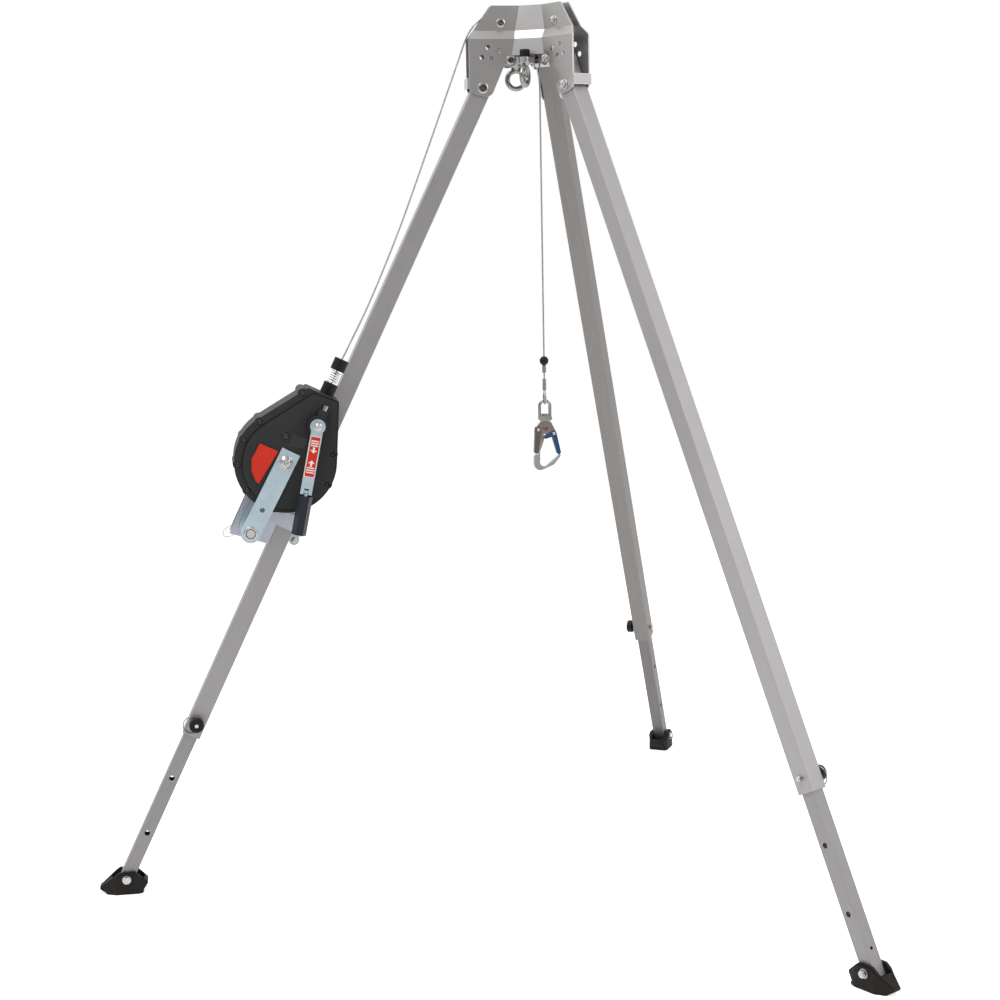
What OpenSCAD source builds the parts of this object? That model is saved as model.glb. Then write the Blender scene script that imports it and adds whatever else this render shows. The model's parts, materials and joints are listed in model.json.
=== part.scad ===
// Rescue tripod with a winch block, pulleys and a swivel hook
// Millimetres, +Z up, standing on the floor plane z = 0

/* [Stance] */
// Angle of an opened leg from the vertical
leg_angle = 26; // [20:0.5:30]
// Distance of each leg pivot from the tripod axis
pivot_r = 150; // [140:1:165]
// Leg length from the pivot to the foot bolt
leg_reach = 2382; // [2320:1:2460]
// Height of the foot bolt above the floor
foot_bolt_z = 43; // [40:1:50]

/* [Leg tubes] */
// Width of the square outer tube
leg_w = 50; // [48:0.5:52]
// Wall of the outer tube
leg_wall = 5; // [4:0.25:5.5]
// Outer tube above the pivot
leg_head = 118; // [116:0.5:122]
// Outer tube below the pivot
leg_tail = 1940; // [1900:1:1960]
// Wall of the inner tube
inner_wall = 3; // [2.5:0.25:4]
// Sliding gap between the tubes, each side
slide_gap = 1; // [0.8:0.05:1.5]
// Inner tube above the foot bolt
inner_len = 1342; // [1300:1:1400]
// Distance of the lock pin above the end of the outer tube
lock_edge = 38; // [34:1:44]
// Distance between lock holes
hole_pitch = 170; // [160:1:180]
// Diameter of the lock pin
lock_pin_d = 14; // [12:0.5:15]
// Diameter of the lock pin's knob
knob_d = 40; // [36:1:44]

/* [Head] */
// Sheet thickness of the head plates
plate_t = 4; // [3:0.5:4.5]
// Gap between a leg and the plate beside it
leg_gap = 1; // [0.8:0.1:1.4]
// Height of the plates above the pivot
plate_top = 217; // [215:1:224]
// Clear width between the plates above the joggle
throat_w = 24; // [23:0.5:26]
// Diameter of the leg pivot bolts
pivot_d = 16; // [14:0.5:18]
// Diameter of the stop and pulley bolts
head_bolt_d = 12; // [10:0.5:14]
// Diameter of the stop sleeves
stop_d = 24; // [22:0.5:26]
// Diameter of the leg index holes
index_d = 14; // [12:0.5:15]
// Outer diameter of the anchor eyes
eye_d = 62; // [58:1:64]
// Bar thickness of the anchor eyes
eye_bar = 14; // [12:0.5:15]

/* [Pulleys and cable] */
// Diameter of the steel cable
cable_d = 4.8; // [4:0.1:5.2]
// Radius of the cable round the outer pulley
outer_run_r = 42; // [40:0.5:42.5]
// Radius of the cable round the centre pulley
centre_run_r = 25; // [24:0.5:25.5]
// Width of both pulleys
pulley_w = 14; // [12:0.5:14.5]
// Height of the stop ball above the floor
ball_z = 1444; // [1400:1:1480]
// Diameter of the stop ball
ball_d = 25; // [22:0.5:27]

/* [Winch block] */
// Radius of the round end of the housing
drum_case_r = 136; // [132:0.5:140]
// Thickness of the housing without its raised face
case_w = 124; // [120:1:130]
// Wall of the housing
case_wall = 4; // [3:0.25:5]
// Distance of the drum axle below the leg pivot
drum_s = 1125; // [1100:1:1150]
// Distance of the drum axle out from the leg's centre line
drum_o = 84; // [80:1:88]
// Tooth module of the crank gearing
gear_module = 4; // [3.9:0.05:4.1]
// Crank length from the hub to the grip hinge
crank_len = 176; // [160:1:190]
// Length of the crank grip
grip_len = 105; // [90:1:110]
// Across-flats size of the crank grip
grip_w = 34; // [30:0.5:36]
// Wire of the buffer spring
spring_wire = 2.4; // [2:0.1:2.8]

/* [Hook] */
// Bar thickness of the hook bow
hook_bar = 15; // [13:0.5:16]
// Height of the hook below its swivel
hook_h = 138; // [132:1:144]

/* [Fits] */
// Radial running clearance of pins and axles
run_fit = 0.05; // [0.03:0.01:0.09]
// Free gap between parts that pass each other
pass_gap = 0.4; // [0.3:0.05:0.6]

/* [Hidden] */
$fn = 48;

// Legs point to these bearings seen from above
LEFT = 180;
RIGHT = 300;
BACK = 60;
legs = [LEFT, RIGHT, BACK];
pivot_z = foot_bolt_z + leg_reach * cos(leg_angle);
foot_r = pivot_r + leg_reach * sin(leg_angle);
inner_w = leg_w - 2 * leg_wall - 2 * slide_gap;
lock_z = -(leg_tail - lock_edge);
bore = 0.1;

// Foot outline above the floor, from the bolt outwards
shoe_w = 65;
shoe_nose = 75;
shoe_heel = 57;
shoe_slot = inner_w + 2.5;
shoe_floor = 12;
shoe_step = 4;
shoe_lip = 5;
shoe_top = foot_bolt_z + 19;
foot_bolt_d = 12;
// Keeps the middle of the footprint over the origin
axis_x = (foot_r + shoe_nose) / 4 - shoe_w * sin(60) / 4;

// Head sheet: half widths of a leg channel below and above the joggle
low_t = leg_w / 2 + leg_gap;
top_t = throat_w / 2;
joggle_low = 129;
joggle_top = 151;
plate_out = pivot_r + 36;
fold_low = 70;
fold_jog = 61.5;
fold_top = 45;
facet_low = 86;
pulley_at = [pivot_r - 53.5, plate_top - outer_run_r - cable_d / 2 - 1];
stop_up = 99;
stop_at = leg_rz([-(leg_w + stop_d) / 2 - 0.3, stop_up]);
boss_r = 17;
strap_h = 28;
strap_t = 6;
index_far = 108;
index_near = 81;
lug_r = 84;
lug_w = 32;
lug_h = 16;
lug_drop = 9;
eye_turn = [0, 0, 60];
bolt_head_h = 8;
washer_t = 2;
// Shared flat pieces of the pulley cassette
cheek_t = 3;
cheek_gap = 0.3;
centre_at = [14, plate_top - centre_run_r - cable_d / 2 - 1];
drop_r = centre_at[0] - centre_run_r;
axle_d = 10;

// Moves from leg coordinates (outwards, along) to radius and height above the pivot
function leg_rz(p) = [
    pivot_r + p[0] * cos(leg_angle) - p[1] * sin(leg_angle),
    p[0] * sin(leg_angle) + p[1] * cos(leg_angle)
];

// Stands a child on the tripod axis at floor level
module axis_frame() {
    translate([axis_x, 0, 0]) children();
}
// Child in a leg plane: X outwards, Y round the axis, Z up from the pivot height
module plane_frame(bearing) {
    axis_frame() rotate(bearing) translate([0, 0, pivot_z]) children();
}
// Child in leg coordinates: X outwards from the leg, Y round the axis, Z up along it
module leg_frame(bearing) {
    plane_frame(bearing) translate([pivot_r, 0, 0]) rotate([0, -leg_angle, 0]) children();
}
// Lays an XY outline upright in XZ and gives it the stated span in Y
module upright(y0, y1) {
    translate([0, y1, 0]) rotate([90, 0, 0]) linear_extrude(y1 - y0) children();
}
// Round bar along Y
module y_bar(d, y0, y1) {
    translate([0, y0, 0]) rotate([-90, 0, 0]) cylinder(d = d, h = y1 - y0);
}
// Hexagon bar along Y, across flats
module y_hex(af, y0, y1) {
    translate([0, y0, 0]) rotate([-90, 0, 0]) cylinder(d = af / cos(30), h = y1 - y0, $fn = 6);
}
// Places a child at a point of an upright plane
module at(p) {
    translate([p[0], 0, p[1]]) children();
}
// Bolt along Y with washers, a hexagon head at +y and a nut at -y
module y_bolt(d, y0, y1) {
    y_bar(d, y0 - washer_t - bolt_head_h - 2, y1 + washer_t + 1);
    y_bar(2 * d, y1, y1 + washer_t);
    y_hex(1.5 * d, y1 + washer_t, y1 + washer_t + bolt_head_h);
    y_bar(2 * d, y0 - washer_t, y0);
    y_hex(1.5 * d, y0 - washer_t - bolt_head_h, y0 - washer_t);
}

// Convex outline of circles given anticlockwise as [x, y, r], with true arcs
function tangent(a, b) = let (
    v = [b[0] - a[0], b[1] - a[1]],
    turn = atan2(v[1], v[0]) - acos((a[2] - b[2]) / norm(v)),
    n = [cos(turn), sin(turn)]
) [[a[0], a[1]] + a[2] * n, [b[0], b[1]] + b[2] * n];
module belt(cs) {
    count = len(cs);
    drawn = inset(cs, 0.01);
    for (c = cs) translate([c[0], c[1]]) circle(c[2]);
    polygon([for (i = [0 : count - 1]) each tangent(drawn[i], drawn[(i + 1) % count])]);
}
// The same circles drawn in by a margin
function inset(cs, m) = [for (c = cs) [c[0], c[1], c[2] - m]];
// Square outline with small round corners
module round_square(w, r) {
    square([w, w - 2 * r], center = true);
    square([w - 2 * r, w], center = true);
    for (x = [-1, 1], y = [-1, 1]) translate([x, y] * (w / 2 - r)) circle(r);
}
// Wheel or ring about Y from a half outline in radius and width
module y_turned() {
    rotate([-90, 0, 0]) rotate_extrude() children();
}
// Ring of round wire about Y
module y_ring(r, wire) {
    y_turned() translate([r, 0]) circle(d = wire);
}

// Head plates: joggled, folded sheets between neighbouring legs
fold_mid = 58;
fold_lap = 3;
index_holes = [[index_far, leg_angle], [index_far, 9], [index_near, 17.5], [index_near, 0]];
function from_pivot(r, a) = [pivot_r - r * sin(a), r * cos(a)];
function facet_d(r, t) = r * cos(60) + t * sin(60);
function facet_w(r, t) = r * sin(60) - t * cos(60);
module side_outline() {
    lobe = [pivot_r - 9, -1, 22];
    polygon([
        [fold_top - fold_lap, plate_top],
        [pulley_at[0] + 26, plate_top],
        [plate_out - 16, joggle_top],
        [plate_out, joggle_low],
        [plate_out, 3],
        [lobe[0], lobe[1]],
        [lobe[0] - lobe[2] + 2, lobe[1] - 9],
        [stop_at[0] + boss_r * 0.9, stop_at[1] - boss_r * 0.55],
        stop_at,
        [fold_low - fold_lap, facet_low],
        [fold_jog - fold_lap, joggle_low],
        [fold_mid - fold_lap, joggle_top]
    ]);
    translate(stop_at) circle(boss_r);
    belt([lobe, [plate_out - 20, 3, 20]]);
}
module joggle_profile(half_low, half_top, t) {
    polygon([
        [half_low, -60], [half_low, joggle_low], [half_top, joggle_top], [half_top, plate_top + 20],
        [half_top + t, plate_top + 20], [half_top + t, joggle_top], [half_low + t, joggle_low],
        [half_low + t, -60]
    ]);
}
module side_facet() {
    difference() {
        intersection() {
            upright(0, leg_w) side_outline();
            rotate([90, 0, 90]) linear_extrude(2 * pivot_r) joggle_profile(low_t, top_t, plate_t);
        }
        at([pivot_r, 0]) y_bar(pivot_d + bore, 0, leg_w);
        at(pulley_at) y_bar(head_bolt_d + bore, 0, leg_w);
        at(stop_at) y_bar(head_bolt_d + bore, 0, leg_w);
        for (h = index_holes) at(from_pivot(h[0], h[1])) y_bar(index_d, 0, leg_w);
    }
}
module centre_facet() {
    low = low_t + plate_t;
    top = top_t + plate_t;
    folds = [[fold_low, low, facet_low], [fold_jog, low, joggle_low],
        [fold_mid, top, joggle_top], [fold_top, top, plate_top]];
    front = [for (f = folds) [facet_d(f[0], f[1]), f[2]]];
    edge = [for (f = folds) [facet_w(f[0], f[1]) + fold_lap - 1, f[2]]];
    intersection() {
        upright(-pivot_r, pivot_r) polygon(concat(front, [for (i = [3 : -1 : 0]) front[i] - [plate_t, 0]]));
        rotate([90, 0, 90]) linear_extrude(pivot_r)
            polygon(concat(edge, [for (i = [3 : -1 : 0]) [-edge[i][0], edge[i][1]]]));
    }
}
module head_plate(bearing) {
    color("gainsboro") {
        plane_frame(bearing - 60) side_facet();
        plane_frame(bearing + 60) mirror([0, 1, 0]) side_facet();
        plane_frame(bearing) centre_facet();
    }
}
module head_plate_front() { head_plate(240); }
module head_plate_right() { head_plate(0); }
module head_plate_left() { head_plate(120); }

module head_bolts() {
    low = low_t + plate_t;
    top = top_t + plate_t;
    color("silver") for (b = legs) plane_frame(b) {
        at([pivot_r, 0]) y_bolt(pivot_d, -low, low);
        at(pulley_at) y_bolt(head_bolt_d, -top, top);
        at(stop_at) y_bolt(head_bolt_d, -low, low);
    }
}
// Tubes on the stop bolts, which the opened legs rest on, and spacers above the other two legs
module stop_sleeves() {
    color("dimgray") {
        for (b = legs) plane_frame(b) at(stop_at) sleeve(stop_d, low_t);
        for (b = [RIGHT, BACK]) plane_frame(b) at(pulley_at) sleeve(2 * head_bolt_d, top_t);
    }
}
module sleeve(d, half) {
    difference() {
        y_bar(d, -half, half);
        y_bar(head_bolt_d + bore, -half - 1, half + 1);
    }
}
module channel_straps() {
    half = low_t + plate_t;
    color("silver") for (b = legs) plane_frame(b)
        translate([plate_out, -half, -1]) cube([strap_t, 2 * half, strap_h]);
}
// Lugs under the centre facets, each drilled for an anchor eye
module anchor_lugs() {
    inner = facet_d(fold_low, low_t + plate_t) - plate_t - 4;
    lug_low = facet_low - lug_drop - lug_h;
    color("whitesmoke") for (b = legs) plane_frame(b + 60) difference() {
        union() {
            translate([0, 0, lug_low]) linear_extrude(lug_h) {
                translate([inner, -lug_w / 2]) square([lug_r - inner, lug_w]);
                translate([lug_r, 0]) circle(d = lug_w);
            }
            translate([inner, -lug_w / 2, lug_low]) cube([plate_t + 4, lug_w, lug_h + lug_drop]);
        }
        translate([lug_r, 0, lug_low - 1]) cylinder(d = pivot_d + bore, h = lug_h + 2);
    }
}
module anchor_eyes() {
    under = facet_low - lug_drop - lug_h;
    collar_h = 7;
    ring_r = (eye_d - eye_bar) / 2;
    drop = collar_h + eye_d / 2 - 5;
    color("silver") for (i = [0:2]) plane_frame(legs[i] + 60) translate([lug_r, 0, under]) {
        rotate(eye_turn[i]) translate([0, 0, -drop]) y_ring(ring_r, eye_bar);
        translate([0, 0, -collar_h]) cylinder(d1 = eye_bar + 4, d2 = lug_w, h = collar_h);
        translate([0, 0, -drop + ring_r]) cylinder(d = pivot_d, h = drop - ring_r + lug_h + 4);
        translate([0, 0, lug_h]) cylinder(d = 25, h = 9);
        translate([0, 0, lug_h + 9]) intersection() {
            sphere(d = 25);
            cylinder(d = 25, h = 9);
        }
    }
}

// Pulley cassette in the left leg's channel
module pulley_cheeks() {
    inner = pulley_w / 2 + cheek_gap;
    outline = [[centre_at[0], centre_at[1], 17], [pulley_at[0], pulley_at[1], 22]];
    color("lightslategray") plane_frame(LEFT) for (side = [0, 1]) mirror([0, side, 0]) difference() {
        union() {
            upright(inner, inner + cheek_t) belt(outline);
            at(pulley_at) y_bar(2 * head_bolt_d, inner + cheek_t - 1, top_t);
        }
        at(pulley_at) y_bar(head_bolt_d + bore, 0, leg_w);
        at(centre_at) y_bar(axle_d + bore, 0, leg_w);
    }
}
module centre_axle() {
    reach = pulley_w / 2 + cheek_gap + cheek_t;
    color("silver") plane_frame(LEFT) at(centre_at) {
        y_bar(axle_d, -reach - 1, reach + 1);
        for (side = [0, 1]) mirror([0, side, 0]) y_bar(1.7 * axle_d, reach, reach + 3);
    }
}
module pulley(run_r, hole_d) {
    groove = cable_d / 2 + pass_gap;
    rim = run_r + cable_d / 2 - 0.2;
    hub = hole_d / 2 + 5;
    web = pulley_w / 4;
    y_turned() difference() {
        translate([hole_d / 2 + run_fit, -pulley_w / 2]) square([rim - hole_d / 2 - run_fit, pulley_w]);
        translate([run_r, 0]) circle(groove);
        polygon([[run_r, -groove], [run_r + 6, -pulley_w / 2 + 1],
            [run_r + 6, pulley_w / 2 - 1], [run_r, groove]]);
        for (side = [-1, 1]) translate([(hub + run_r - 9) / 2, side * (pulley_w / 2)])
            square([run_r - 9 - hub, 2 * (pulley_w / 2 - web)], center = true);
    }
}
module outer_pulley() {
    color("darkgray") plane_frame(LEFT) at(pulley_at) pulley(outer_run_r, head_bolt_d);
}
module centre_pulley() {
    color("darkgray") plane_frame(LEFT) at(centre_at) pulley(centre_run_r, axle_d);
}

// Telescopic legs
corner_r = 2;
module outer_tube(b) {
    color("darkgray") leg_frame(b) difference() {
        translate([0, 0, -leg_tail]) linear_extrude(leg_tail + leg_head) difference() {
            round_square(leg_w, corner_r);
            round_square(leg_w - 2 * leg_wall, corner_r);
        }
        y_bar(pivot_d + 2 * run_fit, -leg_w, leg_w);
        for (z = [index_far, index_near]) translate([0, 0, z]) y_bar(index_d, -leg_w, leg_w);
        translate([0, 0, lock_z]) y_bar(lock_pin_d + 2 * run_fit, -leg_w, leg_w);
    }
}
// Leaf spring in the top of a leg, with buttons that catch the index holes
module snap_clip(b) {
    leaf_t = 1.6;
    leaf_w = 16;
    leaf_y = leg_w / 2 - leg_wall - 0.4;
    low = 34;
    button_d = index_d - 1;
    color("gold") leg_frame(b) {
        for (side = [0, 1]) mirror([0, side, 0]) {
            translate([-leaf_w / 2, leaf_y - leaf_t, low]) cube([leaf_w, leaf_t, index_far + 6 - low]);
            translate([0, 0, index_far]) y_bar(button_d, leaf_y - leaf_t, low_t + plate_t - 0.6);
            translate([0, 0, index_near]) y_bar(button_d, leaf_y - leaf_t, leg_w / 2 + 0.2);
        }
        translate([-leaf_w / 2, 0, low]) rotate([90, 0, 90]) linear_extrude(leaf_w) difference() {
            circle(leaf_y);
            circle(leaf_y - leaf_t);
            translate([-leaf_y, 0]) square(2 * leaf_y);
        }
    }
}
module inner_tube(b) {
    tail = 18;
    color("lightgray") leg_frame(b) difference() {
        translate([0, 0, -leg_reach - tail]) linear_extrude(inner_len + tail) difference() {
            round_square(inner_w, corner_r);
            round_square(inner_w - 2 * inner_wall, 1);
        }
        for (k = [-2 : 4]) translate([0, 0, lock_z + k * hole_pitch]) y_bar(lock_pin_d + 1, -leg_w, leg_w);
        translate([0, 0, -leg_reach]) y_bar(foot_bolt_d + bore, -leg_w, leg_w);
        translate([0, 0, -leg_reach + 50]) rotate([0, 90, 0]) cylinder(d = 9, h = leg_w);
    }
}
module foot_frame(b) {
    axis_frame() rotate(b) translate([foot_r, 0, 0]) children();
}
module foot_bolt(b) {
    color("silver") foot_frame(b) at([0, foot_bolt_z]) y_bolt(foot_bolt_d, -shoe_w / 2, shoe_w / 2);
}
module foot_shoe(b) {
    outline = [[-33, 10, 10], [50, 8, 8], [shoe_nose - 7, 17, 7], [17, shoe_top - 7, 7],
        [-20, shoe_top - 7, 7], [-shoe_heel + 8, 28, 8]];
    color("#222222") foot_frame(b) difference() {
        union() {
            upright(-shoe_w / 2 + shoe_step, shoe_w / 2 - shoe_step) belt(outline);
            upright(-shoe_w / 2, shoe_w / 2) belt(inset(outline, shoe_step));
            upright(-shoe_w / 2, shoe_w / 2) belt([[-40, shoe_lip, shoe_lip], [54, shoe_lip, shoe_lip]]);
        }
        upright(-shoe_slot / 2, shoe_slot / 2) polygon([
            [-38, shoe_floor], [52, shoe_floor], [60, 30], [60, 2 * shoe_top], [-48, 2 * shoe_top], [-48, 34]
        ]);
        at([0, foot_bolt_z]) y_bar(foot_bolt_d + 2 * run_fit, -shoe_w, shoe_w);
    }
}
// Lock pins through both tubes, each with a knob and a pull ring
neck_d = 18;
neck_y = leg_w / 2 + pass_gap;
disc_y = neck_y + 7.6;
knob_y = disc_y + 19;
stud_d = 10;
module lock_frame(b) {
    leg_frame(b) translate([0, 0, lock_z]) children();
}
module lock_pin(b) {
    tip = leg_w / 2 + 8;
    color("silver") lock_frame(b) {
        y_bar(lock_pin_d, -tip, neck_y);
        y_bar(stud_d, 0, knob_y + 1);
        translate([0, -tip, 0]) rotate([90, 0, 0]) cylinder(d1 = lock_pin_d, d2 = lock_pin_d - 6, h = 4);
    }
}
module lock_knob(b) {
    color("#222222") lock_frame(b) y_turned() difference() {
        union() {
            translate([stud_d / 2, neck_y]) square([(neck_d - stud_d) / 2, disc_y - neck_y]);
            translate([stud_d / 2, disc_y]) square([knob_d / 2 - stud_d / 2 - 4, knob_y - disc_y]);
            translate([stud_d / 2, disc_y + 4]) square([(knob_d - stud_d) / 2, knob_y - disc_y - 8]);
            for (y = [disc_y + 4, knob_y - 4]) translate([knob_d / 2 - 4, y]) circle(4);
        }
        translate([stud_d / 2, knob_y - 2]) square([5, 3]);
    }
}
// Tether loop that hangs on the knob's neck
module pin_ring(b) {
    wire = 3;
    r = 24;
    hang_a = 35;
    shift = r - (wire + neck_d) / 2 - 0.3;
    color("silver") lock_frame(b)
        translate([shift * cos(hang_a), (neck_y + disc_y) / 2, -shift * sin(hang_a)]) y_ring(r, wire);
}

// Steel cable: one run up the left leg and one drop down the middle
cable_sides = 8;
function unit(v) = v / norm(v);
function rings(path, refs, r, sides) = [for (i = [0 : len(path) - 1]) let (
    t = unit(path[min(i + 1, len(path) - 1)] - path[max(i - 1, 0)]),
    n = unit(refs[i] - (refs[i] * t) * t),
    b = cross(t, n)
) each [for (k = [0 : sides - 1]) path[i] + r * (cos(360 * k / sides) * n + sin(360 * k / sides) * b)]];
// Closed tube along a path, with a side vector for each point
module tube(path, refs, r, sides) {
    last = len(path) - 1;
    walls = [for (i = [0 : last - 1], k = [0 : sides - 1]) let (j = (k + 1) % sides)
        each [[i * sides + k, (i + 1) * sides + k, (i + 1) * sides + j],
            [i * sides + k, (i + 1) * sides + j, i * sides + j]]];
    ends = [for (k = [1 : sides - 2]) each [[0, k, k + 1],
        [last * sides, last * sides + k + 1, last * sides + k]]];
    polyhedron(rings(path, refs, r, sides), concat(walls, ends));
}
// Smooth points through a hand-picked route
function between(a, b, c, d, u) = 0.5 * (2 * b + (c - a) * u + (2 * a - 5 * b + 4 * c - d) * u * u
    + (3 * b - a - 3 * c + d) * u * u * u);
function smooth(p, steps) = let (n = len(p) - 1) concat(
    [for (i = [0 : n - 1], s = [0 : steps - 1])
        between(p[max(i - 1, 0)], p[i], p[i + 1], p[min(i + 2, n)], s / steps)], [p[n]]);
function all_of(v, path) = [for (q = path) v];
// Point of the left leg's frame, and of its plane, in the part's frame
function leg_point(p) = let (q = leg_rz([p[0], p[2]])) [axis_x - q[0], -p[1], pivot_z + q[1]];
function plane_point(p) = [axis_x - p[0], 0, pivot_z + p[1]];
function turned(c, r, a) = c + r * [cos(a), sin(a)];
outlet_o = 53;
outlet_t = leg_w / 2 + 11 + case_w / 2;
meet_angle = 66;
run_route = [[outlet_o, outlet_t, -919], [outlet_o, outlet_t, -860], [outlet_o, outlet_t, -815],
    [51, 94, -770], [47, 80, -640], [52, 56, -440], [68, 30, -212], [86, 9, 13], [93, 1, 100], [89, 0, 140]];
module cable_run() {
    wrap = [for (a = [48, 55, 60, meet_angle - 0.6]) plane_point(turned(pulley_at, outer_run_r, a))];
    path = concat(smooth([for (p = run_route) leg_point(p)], 4), wrap);
    color("gray") tube(path, all_of([0, 1, 0], path), cable_d / 2, cable_sides);
}
module cable_drop() {
    over = [for (a = [meet_angle : 8 : 90]) turned(pulley_at, outer_run_r, a)];
    round_centre = [for (a = [90 : 15 : 180]) turned(centre_at, centre_run_r, a)];
    low = ball_z + ball_d / 2 - pivot_z;
    down = [for (k = [1 : 6]) [drop_r, centre_at[1] + k * (low - centre_at[1]) / 6]];
    path = [for (p = concat(over, round_centre, down)) plane_point(p)];
    color("gray") tube(path, all_of([0, 1, 0], path), cable_d / 2, cable_sides);
}
// Stop ball, crimped ferrules and thimble at the end of the cable
thimble_r = 16;
thimble_bar = 7;
ferrule_top = ball_z - 14;
thimble_drop = 104;
thimble_z = ball_z - thimble_drop;
link_bar = 9;
link_r = 14.5;
link_top = thimble_z - thimble_r + thimble_bar / 2 + pass_gap;
link_low = thimble_z - 63;
module load_frame(z) {
    axis_frame() translate([-drop_r, 0, z]) children();
}
module cable_end() {
    color("silver") load_frame(0) {
        translate([0, 0, ball_z]) sphere(d = ball_d);
        translate([0, 0, ferrule_top - 30]) cylinder(d = 12, h = 32);
        translate([0, 0, thimble_z + thimble_r])
            cylinder(d = cable_d + 1, h = ferrule_top - thimble_z - thimble_r);
        translate([0, 0, thimble_z + thimble_r]) cylinder(d = 14, h = 32);
        translate([0, 0, thimble_z]) rotate(90) y_ring(thimble_r, thimble_bar);
    }
}
// Bow that hangs in the thimble and carries the turning hook
shank_d = 12;
block_h = 14;
module swivel_link() {
    bow_z = link_top + link_bar / 2 - link_r;
    color("silver") load_frame(0) difference() {
        union() {
            translate([0, 0, bow_z]) rotate([90, 0, 0]) rotate_extrude(angle = 180) translate([link_r, 0])
                circle(d = link_bar);
            for (side = [-1, 1]) translate([side * link_r, 0, link_low + 2])
                cylinder(d = link_bar, h = bow_z - link_low - 2);
            upright(-11, 11) belt([for (side = [-1, 1]) [side * (link_r + link_bar / 2 - block_h / 2),
                link_low + block_h / 2, block_h / 2]]);
        }
        translate([0, 0, link_low - 1]) cylinder(d = shank_d + 2 * run_fit, h = block_h + 2);
    }
}
// Swivel hook: a flat neck, a tapering bow, a bent gate and a thumb lever
ear_pin = 5;
ear_r = 8;
neck_half = 3.6;
gate_at = [24, -36];
gate_tip = [37, 49 - hook_h];
gate_heel = [0, -46];
lever_at = [-20, -24];
lever_tip = [-26, 53 - hook_h];
bow_low = 17 - hook_h;
bow_left = 33;
module hook_frame() {
    load_frame(link_low - pass_gap) children();
}
module bow_outline() {
    difference() {
        belt([[-bow_left + 17, bow_low, 17], [12, bow_low + 13, 18.5], [38, bow_low + 22.5, 4],
            [7 - bow_left, bow_low + 20, 7]]);
        belt([[hook_bar + 14 - bow_left, bow_low + 5.5, 12.5], [19, bow_low + 23, 11.5], [42, bow_low + 35, 6],
            [42, bow_low + 61, 6], [2, bow_low + 55, 8], [-7, bow_low + 36, 9]]);
    }
}
module neck_outline() {
    belt([[lever_at[0], lever_at[1], ear_r], [gate_at[0], gate_at[1], ear_r], [10, -10, 9], [-8, -10, 9]]);
    polygon([[-20, bow_low + 15], [-20, -30], [-6, -30], [-3, -50], [-9, -70], [-15.5, bow_low + 36],
        [-16, bow_low + 15]]);
}
module hook_body() {
    half = hook_bar / 2;
    color("silver") hook_frame() difference() {
        union() {
            translate([0, 0, -20]) cylinder(d = shank_d, h = block_h + 22);
            translate([0, 0, block_h + 2 * pass_gap]) cylinder(d = shank_d + 6, h = 5);
            upright(-neck_half, neck_half) neck_outline();
            upright(-half, half) bow_outline();
        }
        for (p = [gate_at, lever_at]) at(p) y_bar(ear_pin + 2 * run_fit, -leg_w, leg_w);
    }
}
// Places the two cheeks that straddle the hook's neck
module cheeks() {
    half = hook_bar / 2;
    for (y = [-half, neck_half + pass_gap]) upright(y, y + half - neck_half - pass_gap) children();
}
// Bent gate: two cheeks with a web between them below the neck
module hook_gate() {
    half = hook_bar / 2;
    root = [gate_at[0], gate_at[1], 7.5];
    tip = [gate_tip[0], gate_tip[1], 6];
    web = gate_at + (ear_r + 9) * unit(gate_tip - gate_at);
    color("royalblue") hook_frame() {
        cheeks() {
            belt([root, tip]);
            belt([[gate_heel[0], gate_heel[1], 4.5], root]);
        }
        upright(-half, half) belt([[web[0], web[1], 6.4], tip]);
        at(gate_at) y_bar(ear_pin, -half, half);
    }
}
// Thumb lever: two cheeks joined along the back
module hook_lever() {
    half = hook_bar / 2;
    sides = [[lever_at[0], lever_at[1], 9], [lever_tip[0], lever_tip[1], 6.5]];
    color("rosybrown") hook_frame() {
        cheeks() belt(sides);
        upright(-half, half) difference() {
            belt(sides);
            translate([4.5, 0]) belt(inset(sides, -0.5));
            translate([-leg_w, lever_at[1] - ear_r - 2]) square(2 * leg_w);
            translate([-leg_w, lever_tip[1] - 2 * leg_w]) square(2 * leg_w);
        }
        at(lever_at) y_bar(ear_pin, -half, half);
    }
}

// Winch block beside the left leg
case_y0 = leg_w / 2 + 11;
case_mid = case_y0 + case_w / 2;
case_y1 = case_y0 + case_w;
face_h = 6;
face_y = case_y1 + face_h;
case_top = 205;
corner = 8;
case_line = [[0, 0, drum_case_r], [22, case_top - corner, corner], [-58, case_top - corner, corner]];
face_line = [[-10, 0, drum_case_r - 14], [4, case_top - 14, 5], [-57, case_top - 9, 5]];
axle_bolt_d = 20;
pinion_teeth = 12;
wheel_teeth = 52;
gear_dist = gear_module * (pinion_teeth + wheel_teeth) / 2;
hub_a = 106.2;
hub_at = gear_dist * [cos(hub_a), sin(hub_a)];
shaft_d = 16;
hub_d = 52;
hub_y = face_y + 20;
crank_a = -104;
arm_t = 6;
arm_y = hub_y + 4;
arm_w = 31;
arm_end = 7;
boss_at = [[33, 185], [105, 69], [124, 10], [112, -56], [62, -108], [-20, -123], [-90, -85], [-124, -10],
    [-105, 69]];
screw_d = 6;
boss_swell = 14;
drum_core_d = 116;
buffer_x = outlet_o - drum_o;
cap_h = 32;
spring_h = 38;
module block_frame() {
    leg_frame(LEFT) translate([drum_o, 0, -drum_s]) children();
}
// Trapezoid teeth, with a tooth centred on the stated angle
function gear_line(teeth, phase) = let (p = 360 / teeth, r = gear_module * teeth / 2)
    [for (i = [0 : teeth - 1]) each [for (k = [[-0.3, -1.2], [-0.07, 0.8], [0.07, 0.8], [0.3, -1.2]])
        (r + k[1] * gear_module) * [cos(phase + (i + k[0]) * p), sin(phase + (i + k[0]) * p)]]];

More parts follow.
